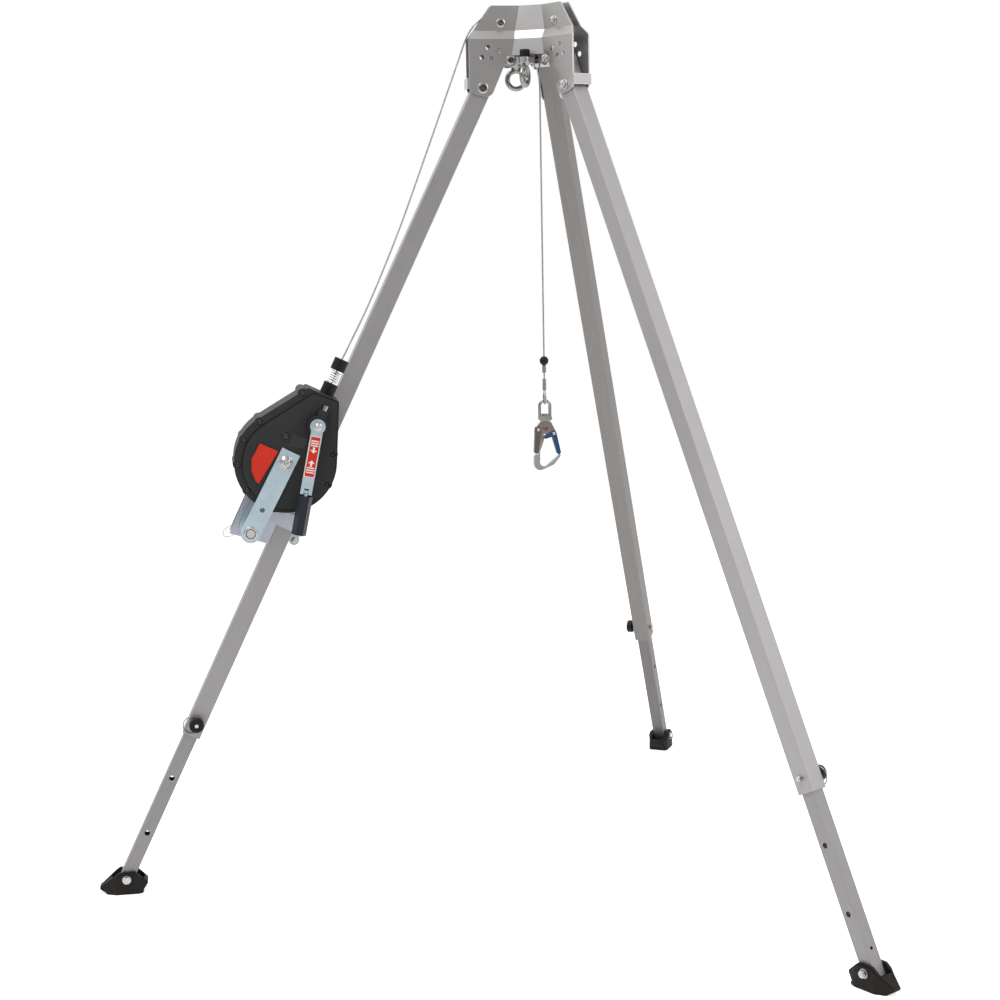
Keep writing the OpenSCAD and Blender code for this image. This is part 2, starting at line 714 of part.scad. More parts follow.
module case_half(y0, y1, wall_y0, wall_y1, drill_y) {
    difference() {
        union() {
            difference() {
                upright(y0, y1) belt(case_line);
                upright(wall_y0, wall_y1) belt(inset(case_line, case_wall));
            }
            for (p = boss_at) at(p) y_bar(2 * boss_swell, y0, y1);
            children();
        }
        for (p = boss_at) at(p) y_bar(screw_d + bore, drill_y, y1 + 1);
        y_bar(axle_bolt_d + bore, y0 - 1, y1 + face_h + 1);
        at([buffer_x, case_top - 20]) cylinder(d = cable_d + 4, h = 30);
    }
}
module housing_rear() {
    color("#2b2b2b") block_frame() difference() {
        case_half(case_y0, case_mid, case_y0 + case_wall, case_mid + 1, case_y0 + case_wall) {
            y_bar(axle_bolt_d + 24, case_y0, case_y0 + 10);
            at(hub_at) y_bar(shaft_d + 16, case_y0, case_y0 + 14);
        }
        at(hub_at) y_bar(shaft_d + 2 * run_fit, case_y0 + case_wall, case_mid);
    }
}
module housing_front() {
    key_z = hub_at[1] + hub_d / 2;
    color("#2b2b2b") block_frame() difference() {
        case_half(case_mid, case_y1, case_mid - 1, case_y1 - case_wall, case_mid - 1) {
            upright(case_y1 - 1, face_y) belt(face_line);
            y_bar(axle_bolt_d + 24, case_y1 - 10, face_y);
            at(hub_at) y_bar(shaft_d + 16, case_y1 - 14, face_y);
            at(hub_at) y_bar(hub_d, face_y - 1, hub_y);
            translate([hub_at[0] - 11, face_y - 1, key_z - 6]) cube([22, 19, 24]);
        }
        at(hub_at) y_bar(shaft_d + 2 * run_fit, case_mid, hub_y + 1);
        for (p = boss_at) at(p) y_bar(screw_d + 7, case_y1 - 4, face_y + 1);
        translate([hub_at[0], face_y + 10, key_z - 2]) cylinder(d = selector_d + 2 * run_fit, h = 30);
    }
}
module housing_screws() {
    color("dimgray") block_frame() for (p = boss_at) at(p) {
        y_bar(screw_d, case_y0 + case_wall, case_y1 - 3);
        y_bar(screw_d + 4, case_y1 - 4, case_y1 + 2);
    }
}
// Spool with its gear wheel, turning on the axle bolt
drum_y = case_y0 + 26;
drum_w = 50;
drum_hub_d = 44;
wheel_y = drum_y + drum_w + 6;
module cable_drum() {
    flange_r = drum_case_r - 28;
    color("slategray") block_frame() difference() {
        union() {
            y_bar(drum_hub_d, case_y0 + 10 + pass_gap, case_y1 - 10 - pass_gap);
            y_bar(drum_core_d, drum_y, drum_y + drum_w);
            for (y = [drum_y, drum_y + drum_w - 4]) translate([0, y, 0]) y_bar(2 * flange_r, 0, 4);
            upright(wheel_y, wheel_y + 10) polygon(gear_line(wheel_teeth, hub_a));
        }
        y_bar(axle_bolt_d + 2 * run_fit, case_y0, case_y1);
    }
}
module drum_axle() {
    color("silver") block_frame() y_bolt(axle_bolt_d, case_y0 - strip_t, face_y + strip_t);
}
// Flat spiral that winds the drum back
module recoil_spring() {
    turns = 5;
    pitch = 13;
    strip = 1.2;
    start = drum_hub_d / 2 + 0.3;
    sweep = 360 * turns;
    function spiral(a, dr) = (start + dr + pitch * a / 360) * [cos(a), sin(a)];
    color("slategray") block_frame() upright(case_y0 + 12, case_y0 + 22) polygon(concat(
        [for (a = [0 : 15 : sweep]) spiral(a, 0)], [for (a = [sweep : -15 : 0]) spiral(a, strip)]));
}
module crank_pinion() {
    color("silver") block_frame() at(hub_at) {
        y_bar(shaft_d, case_y0 + case_wall + 1, arm_y + arm_t + 1);
        upright(wheel_y - 1, wheel_y + 11)
            polygon(gear_line(pinion_teeth, hub_a + 180 + 180 / pinion_teeth));
        y_hex(24, arm_y + arm_t + bore, arm_y + arm_t + 7);
    }
}
// Crank direction runs along X inside this frame
module crank_frame() {
    block_frame() at(hub_at) rotate([0, -crank_a, 0]) children();
}
fork = 13;
hinge_pin = 4;
module crank_arm() {
    color("lightgray") crank_frame() difference() {
        union() {
            upright(arm_y, arm_y + arm_t) {
                circle(r = 20);
                translate([0, -arm_w / 2]) square([crank_len + arm_end, arm_w]);
            }
            y_bar(30, hub_y + pass_gap, arm_y);
        }
        y_bar(shaft_d + bore, 0, 2 * arm_y);
        translate([crank_len - 9, arm_y - 1, -fork / 2]) cube([40, arm_t + 2, fork]);
        translate([crank_len, arm_y + arm_t / 2, -leg_w])
            cylinder(d = hinge_pin + 2 * run_fit, h = 2 * leg_w);
    }
}
module grip_frame() {
    crank_frame() translate([crank_len, arm_y + arm_t / 2, 0]) children();
}
spindle_d = 10;
grip_start = 11;
module crank_spindle() {
    tip = grip_start + grip_len + pass_gap;
    color("silver") grip_frame() {
        translate([0, 0, -arm_w / 2 + 3]) cylinder(d = hinge_pin, h = arm_w - 6);
        translate([0, 0, -fork / 2 + pass_gap]) cylinder(d = 11, h = fork - 2 * pass_gap);
        rotate([0, 90, 0]) cylinder(d = spindle_d, h = tip + 1);
        translate([tip, 0, 0]) rotate([0, 90, 0]) cylinder(d = 18, h = 3);
    }
}
module crank_grip() {
    color("#22263a") grip_frame() translate([grip_start, 0, 0]) rotate([0, 90, 0]) difference() {
        cylinder(d = grip_w / cos(30), h = grip_len, $fn = 6);
        translate([0, 0, -1]) cylinder(d = spindle_d + 2 * run_fit, h = grip_len + 2);
    }
}
selector_d = 9;
module selector_pin() {
    key_z = hub_at[1] + hub_d / 2;
    color("silver") block_frame() translate([hub_at[0], face_y + 10, key_z - 2 + pass_gap]) {
        cylinder(d = selector_d, h = 34);
        translate([0, 0, 21]) cylinder(d = selector_d + 4, h = 13);
    }
}
// Rubber caps at the cable outlet, with a spring between them
module buffer_frame() {
    block_frame() translate([buffer_x, case_mid, case_top]) children();
}
module cable_buffers() {
    color("#1c1c1c") buffer_frame() for (z = [0, cap_h + spring_h]) translate([0, 0, z]) difference() {
        cylinder(d = 40, h = cap_h);
        translate([0, 0, -1]) cylinder(d = cable_d + 4, h = cap_h + 2);
    }
}
module buffer_spring() {
    turns = 5;
    r = 12.5;
    steps = 8 * turns;
    low = cap_h + 1.5 * spring_wire;
    rise = spring_h - 3 * spring_wire;
    function curl(i) = [r * cos(45 * i), r * sin(45 * i), low + rise * i / steps];
    function side(i) = [cos(45 * i), sin(45 * i), 0];
    coil = [for (i = [0 : steps]) curl(i)];
    path = concat([[r, 0, cap_h], [r, 0, cap_h + spring_wire]], [for (i = [1 : steps - 1]) coil[i]],
        [[r, 0, cap_h + spring_h - spring_wire], [r, 0, cap_h + spring_h]]);
    refs = concat([side(0), side(0)], [for (i = [1 : steps - 1]) side(i)], [side(0), side(0)]);
    gap = min([for (i = [0 : steps - 8]) norm(coil[i + 8] - coil[i])]) - spring_wire;
    echo("least gap between the turns of the buffer spring", gap);
    color("silver") buffer_frame() tube(path, refs, spring_wire / 2, 6);
}
// Steel arms that hang the block from the leg bracket
strip_t = 5;
hang_at = [8, -211];
hang_d = 14;
module hanger_arms() {
    arm_half = 26;
    arm_over = 32;
    rise = -unit(hang_at);
    flat = [rise[1], -rise[0]];
    color("lightgray") block_frame() for (y = [case_y0 - strip_t, face_y]) difference() {
        union() {
            upright(y, y + strip_t) belt([[hang_at[0], hang_at[1], arm_half], [0, 0, arm_half]]);
            upright(y, y + strip_t) polygon([-arm_half * flat, arm_half * flat,
                arm_half * flat + arm_over * rise, arm_over * rise - arm_half * flat]);
            at(hang_at) y_bar(34, y - 2 * strip_t * (y > case_mid ? 1 : 0), y + strip_t);
        }
        y_bar(axle_bolt_d + bore, 0, 2 * face_y);
        at(hang_at) y_bar(hang_d + 2 * run_fit, 0, 2 * face_y);
    }
}
module leg_bracket() {
    wall = 4;
    half = leg_w / 2 + wall;
    high = -1262;
    pin_z = hang_at[1] - drum_s;
    pin_o = hang_at[0] + drum_o;
    tab = [-half - 11, high - 68];
    color("silver") leg_frame(LEFT) difference() {
        union() {
            for (y = [-half, leg_w / 2]) upright(y, y + wall) polygon([
                [-half, high], [pin_o + 40, high], [pin_o + 40, pin_z - 42], [half, pin_z - 28],
                [half, high - 44], [-half, high - 44]
            ]);
            translate([-half, -half, high - 44]) cube([wall, 2 * half, 44]);
            translate([leg_w / 2, -half, pin_z - 28]) cube([wall, 2 * half, high - pin_z + 28]);
            upright(-8, -2) belt([[-half - 5, high - 28, 6], [tab[0], tab[1], 14]]);
        }
        at([pin_o, pin_z]) y_bar(hang_d + 2 * run_fit, -leg_w, leg_w);
        at(tab) y_bar(8, -leg_w, leg_w);
    }
}
module bracket_pin() {
    reach = face_y + strip_t;
    ring_y = -leg_w / 2 - 14;
    ring_r = 12;
    wire = 2.5;
    color("silver") block_frame() at(hang_at) {
        difference() {
            y_bar(hang_d, ring_y - 6, reach + 4);
            translate([0, ring_y, -ring_r]) y_ring(ring_r, wire + 2 * pass_gap);
        }
        y_bar(hang_d + 8, reach + pass_gap, reach + 5);
        translate([0, ring_y, -ring_r - pass_gap / 2]) y_ring(ring_r, wire);
    }
}

head_plate_front();
head_plate_right();
head_plate_left();
head_bolts();
stop_sleeves();
channel_straps();
anchor_lugs();
anchor_eyes();
pulley_cheeks();
centre_axle();
outer_pulley();
centre_pulley();
cable_run();
cable_drop();
cable_end();
swivel_link();
hook_body();
hook_gate();
hook_lever();
outer_tube(LEFT);  // outer_tube_left
outer_tube(RIGHT);  // outer_tube_right
outer_tube(BACK);  // outer_tube_back
snap_clip(LEFT);  // snap_clip_left
snap_clip(RIGHT);  // snap_clip_right
snap_clip(BACK);  // snap_clip_back
inner_tube(LEFT);  // inner_tube_left
inner_tube(RIGHT);  // inner_tube_right
inner_tube(BACK);  // inner_tube_back
foot_bolt(LEFT);  // foot_bolt_left
foot_bolt(RIGHT);  // foot_bolt_right
foot_bolt(BACK);  // foot_bolt_back
foot_shoe(LEFT);  // foot_shoe_left
foot_shoe(RIGHT);  // foot_shoe_right
foot_shoe(BACK);  // foot_shoe_back
lock_pin(LEFT);  // lock_pin_left
lock_pin(RIGHT);  // lock_pin_right
lock_pin(BACK);  // lock_pin_back
lock_knob(LEFT);  // lock_knob_left
lock_knob(RIGHT);  // lock_knob_right
lock_knob(BACK);  // lock_knob_back
pin_ring(LEFT);  // pin_ring_left
pin_ring(RIGHT);  // pin_ring_right
pin_ring(BACK);  // pin_ring_back
housing_front();
housing_rear();
housing_screws();
cable_drum();
drum_axle();
recoil_spring();
crank_pinion();
crank_arm();
crank_spindle();
crank_grip();
selector_pin();
cable_buffers();
buffer_spring();
hanger_arms();
leg_bracket();
bracket_pin();
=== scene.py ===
import json
import math

import bmesh
import bpy
from mathutils import Matrix, Vector

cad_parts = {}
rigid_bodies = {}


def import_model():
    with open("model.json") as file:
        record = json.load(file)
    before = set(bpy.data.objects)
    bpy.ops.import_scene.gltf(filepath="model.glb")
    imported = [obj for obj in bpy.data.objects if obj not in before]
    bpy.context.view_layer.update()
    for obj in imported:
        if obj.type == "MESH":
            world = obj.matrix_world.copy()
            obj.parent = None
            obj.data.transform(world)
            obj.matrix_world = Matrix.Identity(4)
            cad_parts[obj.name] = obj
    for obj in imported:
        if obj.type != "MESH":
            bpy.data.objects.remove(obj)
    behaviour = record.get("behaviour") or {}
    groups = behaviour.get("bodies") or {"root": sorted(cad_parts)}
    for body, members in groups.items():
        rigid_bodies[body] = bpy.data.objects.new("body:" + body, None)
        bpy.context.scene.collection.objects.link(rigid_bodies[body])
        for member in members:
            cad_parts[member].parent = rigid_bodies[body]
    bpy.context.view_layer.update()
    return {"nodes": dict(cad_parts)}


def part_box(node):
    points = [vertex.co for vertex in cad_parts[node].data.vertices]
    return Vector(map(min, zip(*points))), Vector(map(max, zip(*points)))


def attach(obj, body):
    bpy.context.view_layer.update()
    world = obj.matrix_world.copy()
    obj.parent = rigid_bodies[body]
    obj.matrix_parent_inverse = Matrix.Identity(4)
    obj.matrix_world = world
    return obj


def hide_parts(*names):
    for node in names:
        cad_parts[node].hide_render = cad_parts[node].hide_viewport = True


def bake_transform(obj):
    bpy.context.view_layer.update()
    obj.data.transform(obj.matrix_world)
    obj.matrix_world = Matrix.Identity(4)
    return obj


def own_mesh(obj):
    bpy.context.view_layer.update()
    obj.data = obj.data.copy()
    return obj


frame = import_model()
nodes = bpy.data.objects
print("frame loaded:", len(frame["nodes"]), "nodes")

# Stance of the tripod, the same numbers as the part's source
stance = {
    "axisX": 0.30322,  # tripod axis in the part frame
    "pivotR": 0.150,
    "pivotZ": 2.18393,
    "legAngle": 26.0,
    "bearings": {"left": 180.0, "right": 300.0, "back": 60.0},
}


def mm(*values):
    return Vector(values) / 1000.0


def unitAt(angle):
    # cosine and sine of an angle in degrees
    return math.cos(math.radians(angle)), math.sin(math.radians(angle))


def axesMatrix(x, y, z, place):
    m = Matrix.Identity(4)
    for row in range(3):
        m[row][0], m[row][1], m[row][2], m[row][3] = x[row], y[row], z[row], place[row]
    return m


def legMatrix(side):
    # X outwards, Y round the tripod axis, Z up along the leg, from the head pivot
    c, s = unitAt(stance["bearings"][side])
    level, rise = unitAt(stance["legAngle"])
    u, t = Vector((c, s, 0)), Vector((-s, c, 0))
    out = u * level + Vector((0, 0, rise))
    up = -u * rise + Vector((0, 0, level))
    pivot = Vector((stance["axisX"], 0, stance["pivotZ"])) + u * stance["pivotR"]
    return axesMatrix(out, t, up, pivot)


def planeMatrix(side):
    # X outwards and level, Y round the tripod axis, Z up, from the height of the leg pivots
    b = math.radians(stance["bearings"][side])
    return Matrix.Translation((stance["axisX"], 0, stance["pivotZ"])) @ Matrix.Rotation(b, 4, "Z")


def shift(x, y, z):
    return Matrix.Translation(mm(x, y, z))


def alongY():
    # turns a piece made about Z so that it points along Y
    return Matrix.Rotation(-math.pi / 2, 4, "X")


def linkNew(name, data):
    obj = bpy.data.objects.new(name, data)
    bpy.context.scene.collection.objects.link(obj)
    return obj


# Camera at the photograph's angle
shot = {
    "place": (-0.6186, -5.0271, 1.843),
    "bearing": 80.94,  # from +X
    "pitch": -8.764,
    "roll": -1.098,
    "lens": 66.27,
    "sensor": 36.0,
    "reach": 60.0,
}


def addCamera():
    data = bpy.data.cameras.new("shotCamera")
    data.sensor_fit = "HORIZONTAL"
    data.sensor_width = shot["sensor"]
    data.lens = shot["lens"]
    data.clip_end = shot["reach"]
    cam = linkNew("shotCamera", data)
    (east, north), (level, rise), (even, tip) = (unitAt(shot[k]) for k in ("bearing", "pitch", "roll"))
    look = Vector((level * east, level * north, rise))
    flat = Vector((north, -east, 0))
    right = flat * even + flat.cross(look) * tip
    cam.matrix_world = axesMatrix(right, right.cross(look), -look, shot["place"])
    bpy.context.scene.camera = cam


addCamera()
bpy.context.scene.view_settings.view_transform = "Standard"
print("camera set")


# Small builders for the pieces
def addPiece(name, verts, faces, smooth=True):
    mesh = bpy.data.meshes.new(name)
    mesh.from_pydata([tuple(v) for v in verts], [], faces)
    mesh.validate()
    bm = bmesh.new()
    bm.from_mesh(mesh)
    bmesh.ops.recalc_face_normals(bm, faces=bm.faces)
    bm.to_mesh(mesh)
    bm.free()
    for p in mesh.polygons:
        p.use_smooth = smooth
    return linkNew(name, mesh)


def bmeshPiece(name, bm):
    mesh = bpy.data.meshes.new(name)
    bm.to_mesh(mesh)
    bm.free()
    return linkNew(name, mesh)


def ringRows(count, sides, closed=False):
    faces = []
    for i in range(count if closed else count - 1):
        n = (i + 1) % count
        for k in range(sides):
            j = (k + 1) % sides
            faces.append((i * sides + k, i * sides + j, n * sides + j, n * sides + k))
    return faces


def endCaps(count, sides):
    return [tuple(range(sides)), tuple((count - 1) * sides + k for k in range(sides))]


def turnedPiece(name, outline, sides=48):
    # outline of (radius, height) in mm turned about Z, both ends closed
    verts = []
    for r, z in outline:
        for k in range(sides):
            a = 2 * math.pi * k / sides
            verts.append(Vector((r / 1000 * math.cos(a), r / 1000 * math.sin(a), z / 1000)))
    count = len(outline)
    return addPiece(name, verts, ringRows(count, sides) + endCaps(count, sides))


def platePiece(name, outline, low, high):
    # flat outline in X and Z, given a thickness along Y, in mm
    count = len(outline)
    verts = [mm(x, y, z) for y in (low, high) for x, z in outline]
    return addPiece(name, verts, endCaps(2, count) + ringRows(2, count), smooth=False)


def rimPiece(name, outline, edges, low, high):
    # raised frame round an outline, between two edges outside it
    n = len(outline)
    cx = sum(p[0] for p in outline) / n
    cz = sum(p[1] for p in outline) / n

    def moved(by):
        ring = []
        for x, z in outline:
            grow = 1 + by / math.hypot(x - cx, z - cz)
            ring.append((cx + (x - cx) * grow, cz + (z - cz) * grow))
        return ring
    outer, inner = (moved(by) for by in edges)
    rings = [(outer, low), (outer, high), (inner, high), (inner, low)]
    verts = [mm(x, y, z) for ring, y in rings for x, z in ring]
    return addPiece(name, verts, ringRows(4, n, closed=True), smooth=False)


def hexPiece(name, across, low, high, chamfer):
    # nut with chamfered corners on both faces, made about Z, in mm
    point, face = across / math.sqrt(3), across / 2 - 0.3
    rows = [(face, low), (point, low + chamfer), (point, high - chamfer), (face, high)]
    verts, sides = [], 36
    for ring, z in rows:
        for k in range(sides):
            a = 2 * math.pi * k / sides
            r = min(ring, across / 2 / math.cos((a % (math.pi / 3)) - math.pi / 6))
            verts.append(mm(r * math.cos(a), r * math.sin(a), z))
    return addPiece(name, verts, ringRows(4, sides) + endCaps(4, sides), smooth=False)


def softenEdges(obj, width, segments=2):
    bevel = obj.modifiers.new("softEdges", "BEVEL")
    bevel.width = width / 1000
    bevel.segments = segments
    bevel.limit_method = "ANGLE"
    bevel.angle_limit = math.radians(30)


def placeOn(obj, matrix, body, finish):
    obj.data.transform(matrix)
    obj.data.materials.append(finishes[finish])
    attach(obj, body)
    return obj


def joinPieces(name, parts):
    # one piece out of several that share a finish
    bm = bmesh.new()
    for part in parts:
        bm.from_mesh(part.data)
        bpy.data.objects.remove(part)
    return bmeshPiece(name, bm)


def movedPiece(obj, matrix):
    obj.data.transform(matrix)
    return obj


def smoothLine(points, step):
    # even points on a spline through the given ones
    line = []
    last = len(points) - 1
    for i in range(last):
        a, b, c, d = (Vector(points[min(max(i + k, 0), last)]) for k in (-1, 0, 1, 2))
        n = max(2, int((c - b).length / step))
        for k in range(n):
            t = k / n
            line.append(0.5 * ((2 * b) + (c - a) * t + (2 * a - 5 * b + 4 * c - d) * t ** 2
                               + (3 * b - a - 3 * c + d) * t ** 3))
    line.append(Vector(points[-1]))
    return line


def strandSection(bore, strands, side):
    def radius(a):
        return bore / 2 * (0.8 + 0.2 * math.sqrt(0.5 + 0.5 * math.cos(strands * a)))
    return {"sides": 4 * strands, "side": Vector(side), "radius": radius}


def sweptTube(name, line, section, lay=None):
    # section gives the radius at an angle; lay is the length of one turn of the strands
    sides = section["sides"]
    verts, run = [], 0.0
    for i, p in enumerate(line):
        t = (line[min(i + 1, len(line) - 1)] - line[max(i - 1, 0)]).normalized()
        n = section["side"] - t * section["side"].dot(t)
        n.normalize()
        b = t.cross(n)
        if i:
            run += (p - line[i - 1]).length
        twist = 2 * math.pi * run / lay if lay else 0.0
        for k in range(sides):
            a = 2 * math.pi * k / sides
            r = section["radius"](a)
            verts.append(p + r * (math.cos(a + twist) * n + math.sin(a + twist) * b))
    return addPiece(name, verts, ringRows(len(line), sides) + endCaps(len(line), sides)), run


# Shader groups that several finishes share
def startGroup(name, inputs, outputs):
    tree = bpy.data.node_groups.new(name, "ShaderNodeTree")
    for label, kind, value in inputs:
        socket = tree.interface.new_socket(label, in_out="INPUT", socket_type=kind)
        socket.default_value = value
    for label, kind in outputs:
        tree.interface.new_socket(label, in_out="OUTPUT", socket_type=kind)
    return tree, tree.nodes.new("NodeGroupInput"), tree.nodes.new("NodeGroupOutput")


def feed(tree, socket, value):
    # a plain number or colour is set, another node's output is linked
    if isinstance(value, (int, float, tuple)):
        socket.default_value = value
    else:
        tree.links.new(value, socket)


def addMath(tree, kind, first, second, third=None, clamp=False):
    node = tree.nodes.new("ShaderNodeMath")
    node.operation = kind
    node.use_clamp = clamp
    feed(tree, node.inputs[0], first)
    feed(tree, node.inputs[1], second)
    if third is not None:
        feed(tree, node.inputs[2], third)
    return node.outputs[0]


def addVector(tree, kind, first, second):
    node = tree.nodes.new("ShaderNodeVectorMath")
    node.operation = kind
    feed(tree, node.inputs[0], first)
    feed(tree, node.inputs["Scale" if kind == "SCALE" else 1], second)
    return node.outputs["Value" if kind == "DOT_PRODUCT" else "Vector"]


def addNoise(tree, vector, scale, detail=3.0, rough=0.55):
    node = tree.nodes.new("ShaderNodeTexNoise")
    for label, value in (("Vector", vector), ("Scale", scale), ("Detail", detail), ("Roughness", rough)):
        feed(tree, node.inputs[label], value)
    return node.outputs["Fac"]


def objectPlace(tree):
    return tree.nodes.new("ShaderNodeTexCoord").outputs["Object"]


def drawnLines():
    # streaks that run along an axis, as extruding or brushing leaves them
    tree, start, end = startGroup(
        "drawnLines",
        [("Axis", "NodeSocketVector", (0, 0, 1)), ("Fineness", "NodeSocketFloat", 900.0)],
        [("Streak", "NodeSocketFloat")],
    )
    place = objectPlace(tree)
    along = addVector(tree, "DOT_PRODUCT", place, start.outputs["Axis"])
    line = addVector(tree, "SCALE", start.outputs["Axis"], along)
    across = addVector(tree, "SUBTRACT", place, line)
    where = addVector(tree, "ADD", across, addVector(tree, "SCALE", line, 0.012))  # drawn out along the axis
    tree.links.new(addNoise(tree, where, start.outputs["Fineness"], 4.0, 0.6), end.inputs["Streak"])
    return tree


def surfaceGrain():
    # fine pimples, soft blotches and sparse specks
    tree, start, end = startGroup(
        "surfaceGrain",
        [("Grain", "NodeSocketFloat", 1400.0), ("Blotch", "NodeSocketFloat", 9.0)],
        [("Pimple", "NodeSocketFloat"), ("Cloud", "NodeSocketFloat"), ("Speck", "NodeSocketFloat")],
    )
    place = objectPlace(tree)
    tree.links.new(addNoise(tree, place, start.outputs["Grain"], 2.0), end.inputs["Pimple"])
    tree.links.new(addNoise(tree, place, start.outputs["Blotch"], 5.0, 0.62), end.inputs["Cloud"])
    dots = addNoise(tree, place, addMath(tree, "MULTIPLY", start.outputs["Grain"], 0.22), 3.0, 0.7)
    high = addMath(tree, "SUBTRACT", dots, 0.64)
    tree.links.new(addMath(tree, "MULTIPLY", high, 9.0, clamp=True), end.inputs["Speck"])
    return tree


def edgeRubAndSheen():
    # 1 along corners, broken up by noise: partly rubbing wear where hands and other metal rub, partly a painted
    #                                      highlight on the rims
    tree, start, end = startGroup(
        "edgeRubAndSheen",
        [("Reach", "NodeSocketFloat", 0.0015), ("Strength", "NodeSocketFloat", 1.0)],
        [("Rub", "NodeSocketFloat")],
    )
    soft = tree.nodes.new("ShaderNodeBevel")
    soft.samples = 4
    tree.links.new(start.outputs["Reach"], soft.inputs["Radius"])
    flat = tree.nodes.new("ShaderNodeNewGeometry")
    same = addVector(tree, "DOT_PRODUCT", soft.outputs["Normal"], flat.outputs["Normal"])
    bend = addMath(tree, "MULTIPLY", addMath(tree, "SUBTRACT", 1.0, same), 5.0, clamp=True)
    ragged = addMath(tree, "ADD", addNoise(tree, objectPlace(tree), 160.0, 4.0, 0.7), 0.25)
    wearAndSheen = addMath(tree, "MULTIPLY", bend, ragged)
    rub = addMath(tree, "MULTIPLY", wearAndSheen, start.outputs["Strength"], clamp=True)
    tree.links.new(rub, end.inputs["Rub"])
    return tree


def heightZone():
    # 1 above a height, 0 below it, with a soft ragged change
    tree, start, end = startGroup(
        "heightZone",
        [("From", "NodeSocketFloat", 0.0), ("To", "NodeSocketFloat", 1.0)],
        [("Above", "NodeSocketFloat")],
    )
    place = objectPlace(tree)
    split = tree.nodes.new("ShaderNodeSeparateXYZ")
    tree.links.new(place, split.inputs[0])
    spread = addMath(tree, "MULTIPLY", addNoise(tree, place, 120.0, 3.0), 0.008)
    height = addMath(tree, "ADD", split.outputs["Z"], spread)
    rise = addMath(tree, "SUBTRACT", height, start.outputs["From"])
    whole = addMath(tree, "SUBTRACT", start.outputs["To"], start.outputs["From"])
    tree.links.new(addMath(tree, "DIVIDE", rise, whole, clamp=True), end.inputs["Above"])
    return tree


groups = {"lines": drawnLines(), "grain": surfaceGrain(), "rub": edgeRubAndSheen(), "zone": heightZone()}
print("shader groups built")


def tint(code):
    # sRGB hex to the linear colour that nodes take
    def lin(v):
        v /= 255.0
        return v / 12.92 if v <= 0.04045 else ((v + 0.055) / 1.055) ** 2.4
    return tuple(lin(int(code[i:i + 2], 16)) for i in (0, 2, 4)) + (1.0,)


def mixTint(tree, amount, first, second):
    node = tree.nodes.new("ShaderNodeMix")
    node.data_type = "RGBA"
    for i, value in ((0, amount), (6, first), (7, second)):
        feed(tree, node.inputs[i], value)
    return node.outputs[2]


def useGroup(tree, key, **values):
    node = tree.nodes.new("ShaderNodeGroup")
    node.node_tree = groups[key]
    for label, value in values.items():
        node.inputs[label].default_value = value
    return node.outputs


# What a look has unless it says otherwise
plainLook = {
    "grain": 1400.0,
    "blotch": 9.0,
    "fineness": 900.0,
    "streak": 0.5,
    "lineGrain": 0.4,  # grain left between drawn lines
    "speckBy": 0.6,
    "roughSpan": 0.12,
    "rubAndSheenReach": 0.0015,
    "rubAndSheenBy": 0.8,
    "bump": 0.15,
    "bumpDeep": 0.0002,
    "metal": 0.0,
    "specular": 0.5,
    "coat": 0.0,
    "coatRough": 0.15,
}


def makeFinish(name, changes):
    look = {**plainLook, **changes}
    mat = bpy.data.materials.new(name)
    mat.use_nodes = True
    tree = mat.node_tree
    bsdf = tree.nodes["Principled BSDF"]
    grain = useGroup(tree, "grain", Grain=look["grain"], Blotch=look["blotch"])
    height, cloud = grain["Pimple"], grain["Cloud"]
    colour = mixTint(tree, cloud, tint(look["dark"]), tint(look["light"]))
    if "axis" in look:
        lines = useGroup(tree, "lines", Axis=look["axis"], Fineness=look["fineness"])
        streak = addMath(tree, "MULTIPLY", lines["Streak"], look["streak"])
        colour = mixTint(tree, streak, colour, tint(look["line"]))
        height = addMath(tree, "ADD", addMath(tree, "MULTIPLY", height, look["lineGrain"]), lines["Streak"])
    if "upper" in look:
        zone = useGroup(tree, "zone", From=look["upper"]["from"], To=look["upper"]["to"])["Above"]
        colour = mixTint(tree, zone, colour, tint(look["upper"]["tone"]))
    if "speck" in look:
        speck = addMath(tree, "MULTIPLY", grain["Speck"], look["speckBy"])
        colour = mixTint(tree, speck, colour, tint(look["speck"]))
    span = look["roughSpan"]
    rough = addMath(tree, "MULTIPLY_ADD", cloud, span, look["rough"] - span / 2)
    # edges take a lighter colour, partly rubbing wear and partly painted highlight
    if "rub" in look:
        rub = useGroup(tree, "rub", Reach=look["rubAndSheenReach"], Strength=look["rubAndSheenBy"])["Rub"]
        colour = mixTint(tree, rub, colour, tint(look["rub"]))
        if "rubAndSheenRough" in look:
            node = tree.nodes.new("ShaderNodeMix")
            for i, value in ((0, rub), (2, rough), (3, look["rubAndSheenRough"])):
                feed(tree, node.inputs[i], value)
            rough = node.outputs[0]
    bump = tree.nodes.new("ShaderNodeBump")
    bump.inputs["Strength"].default_value = look["bump"]
    bump.inputs["Distance"].default_value = look["bumpDeep"]
    tree.links.new(height, bump.inputs["Height"])
    for label, value in (("Base Color", colour), ("Roughness", rough), ("Normal", bump.outputs["Normal"]),
                         ("Metallic", look["metal"]), ("Specular IOR Level", look["specular"]),
                         ("Coat Weight", look["coat"]), ("Coat Roughness", look["coatRough"])):
        feed(tree, bsdf.inputs[label], value)
    return mat
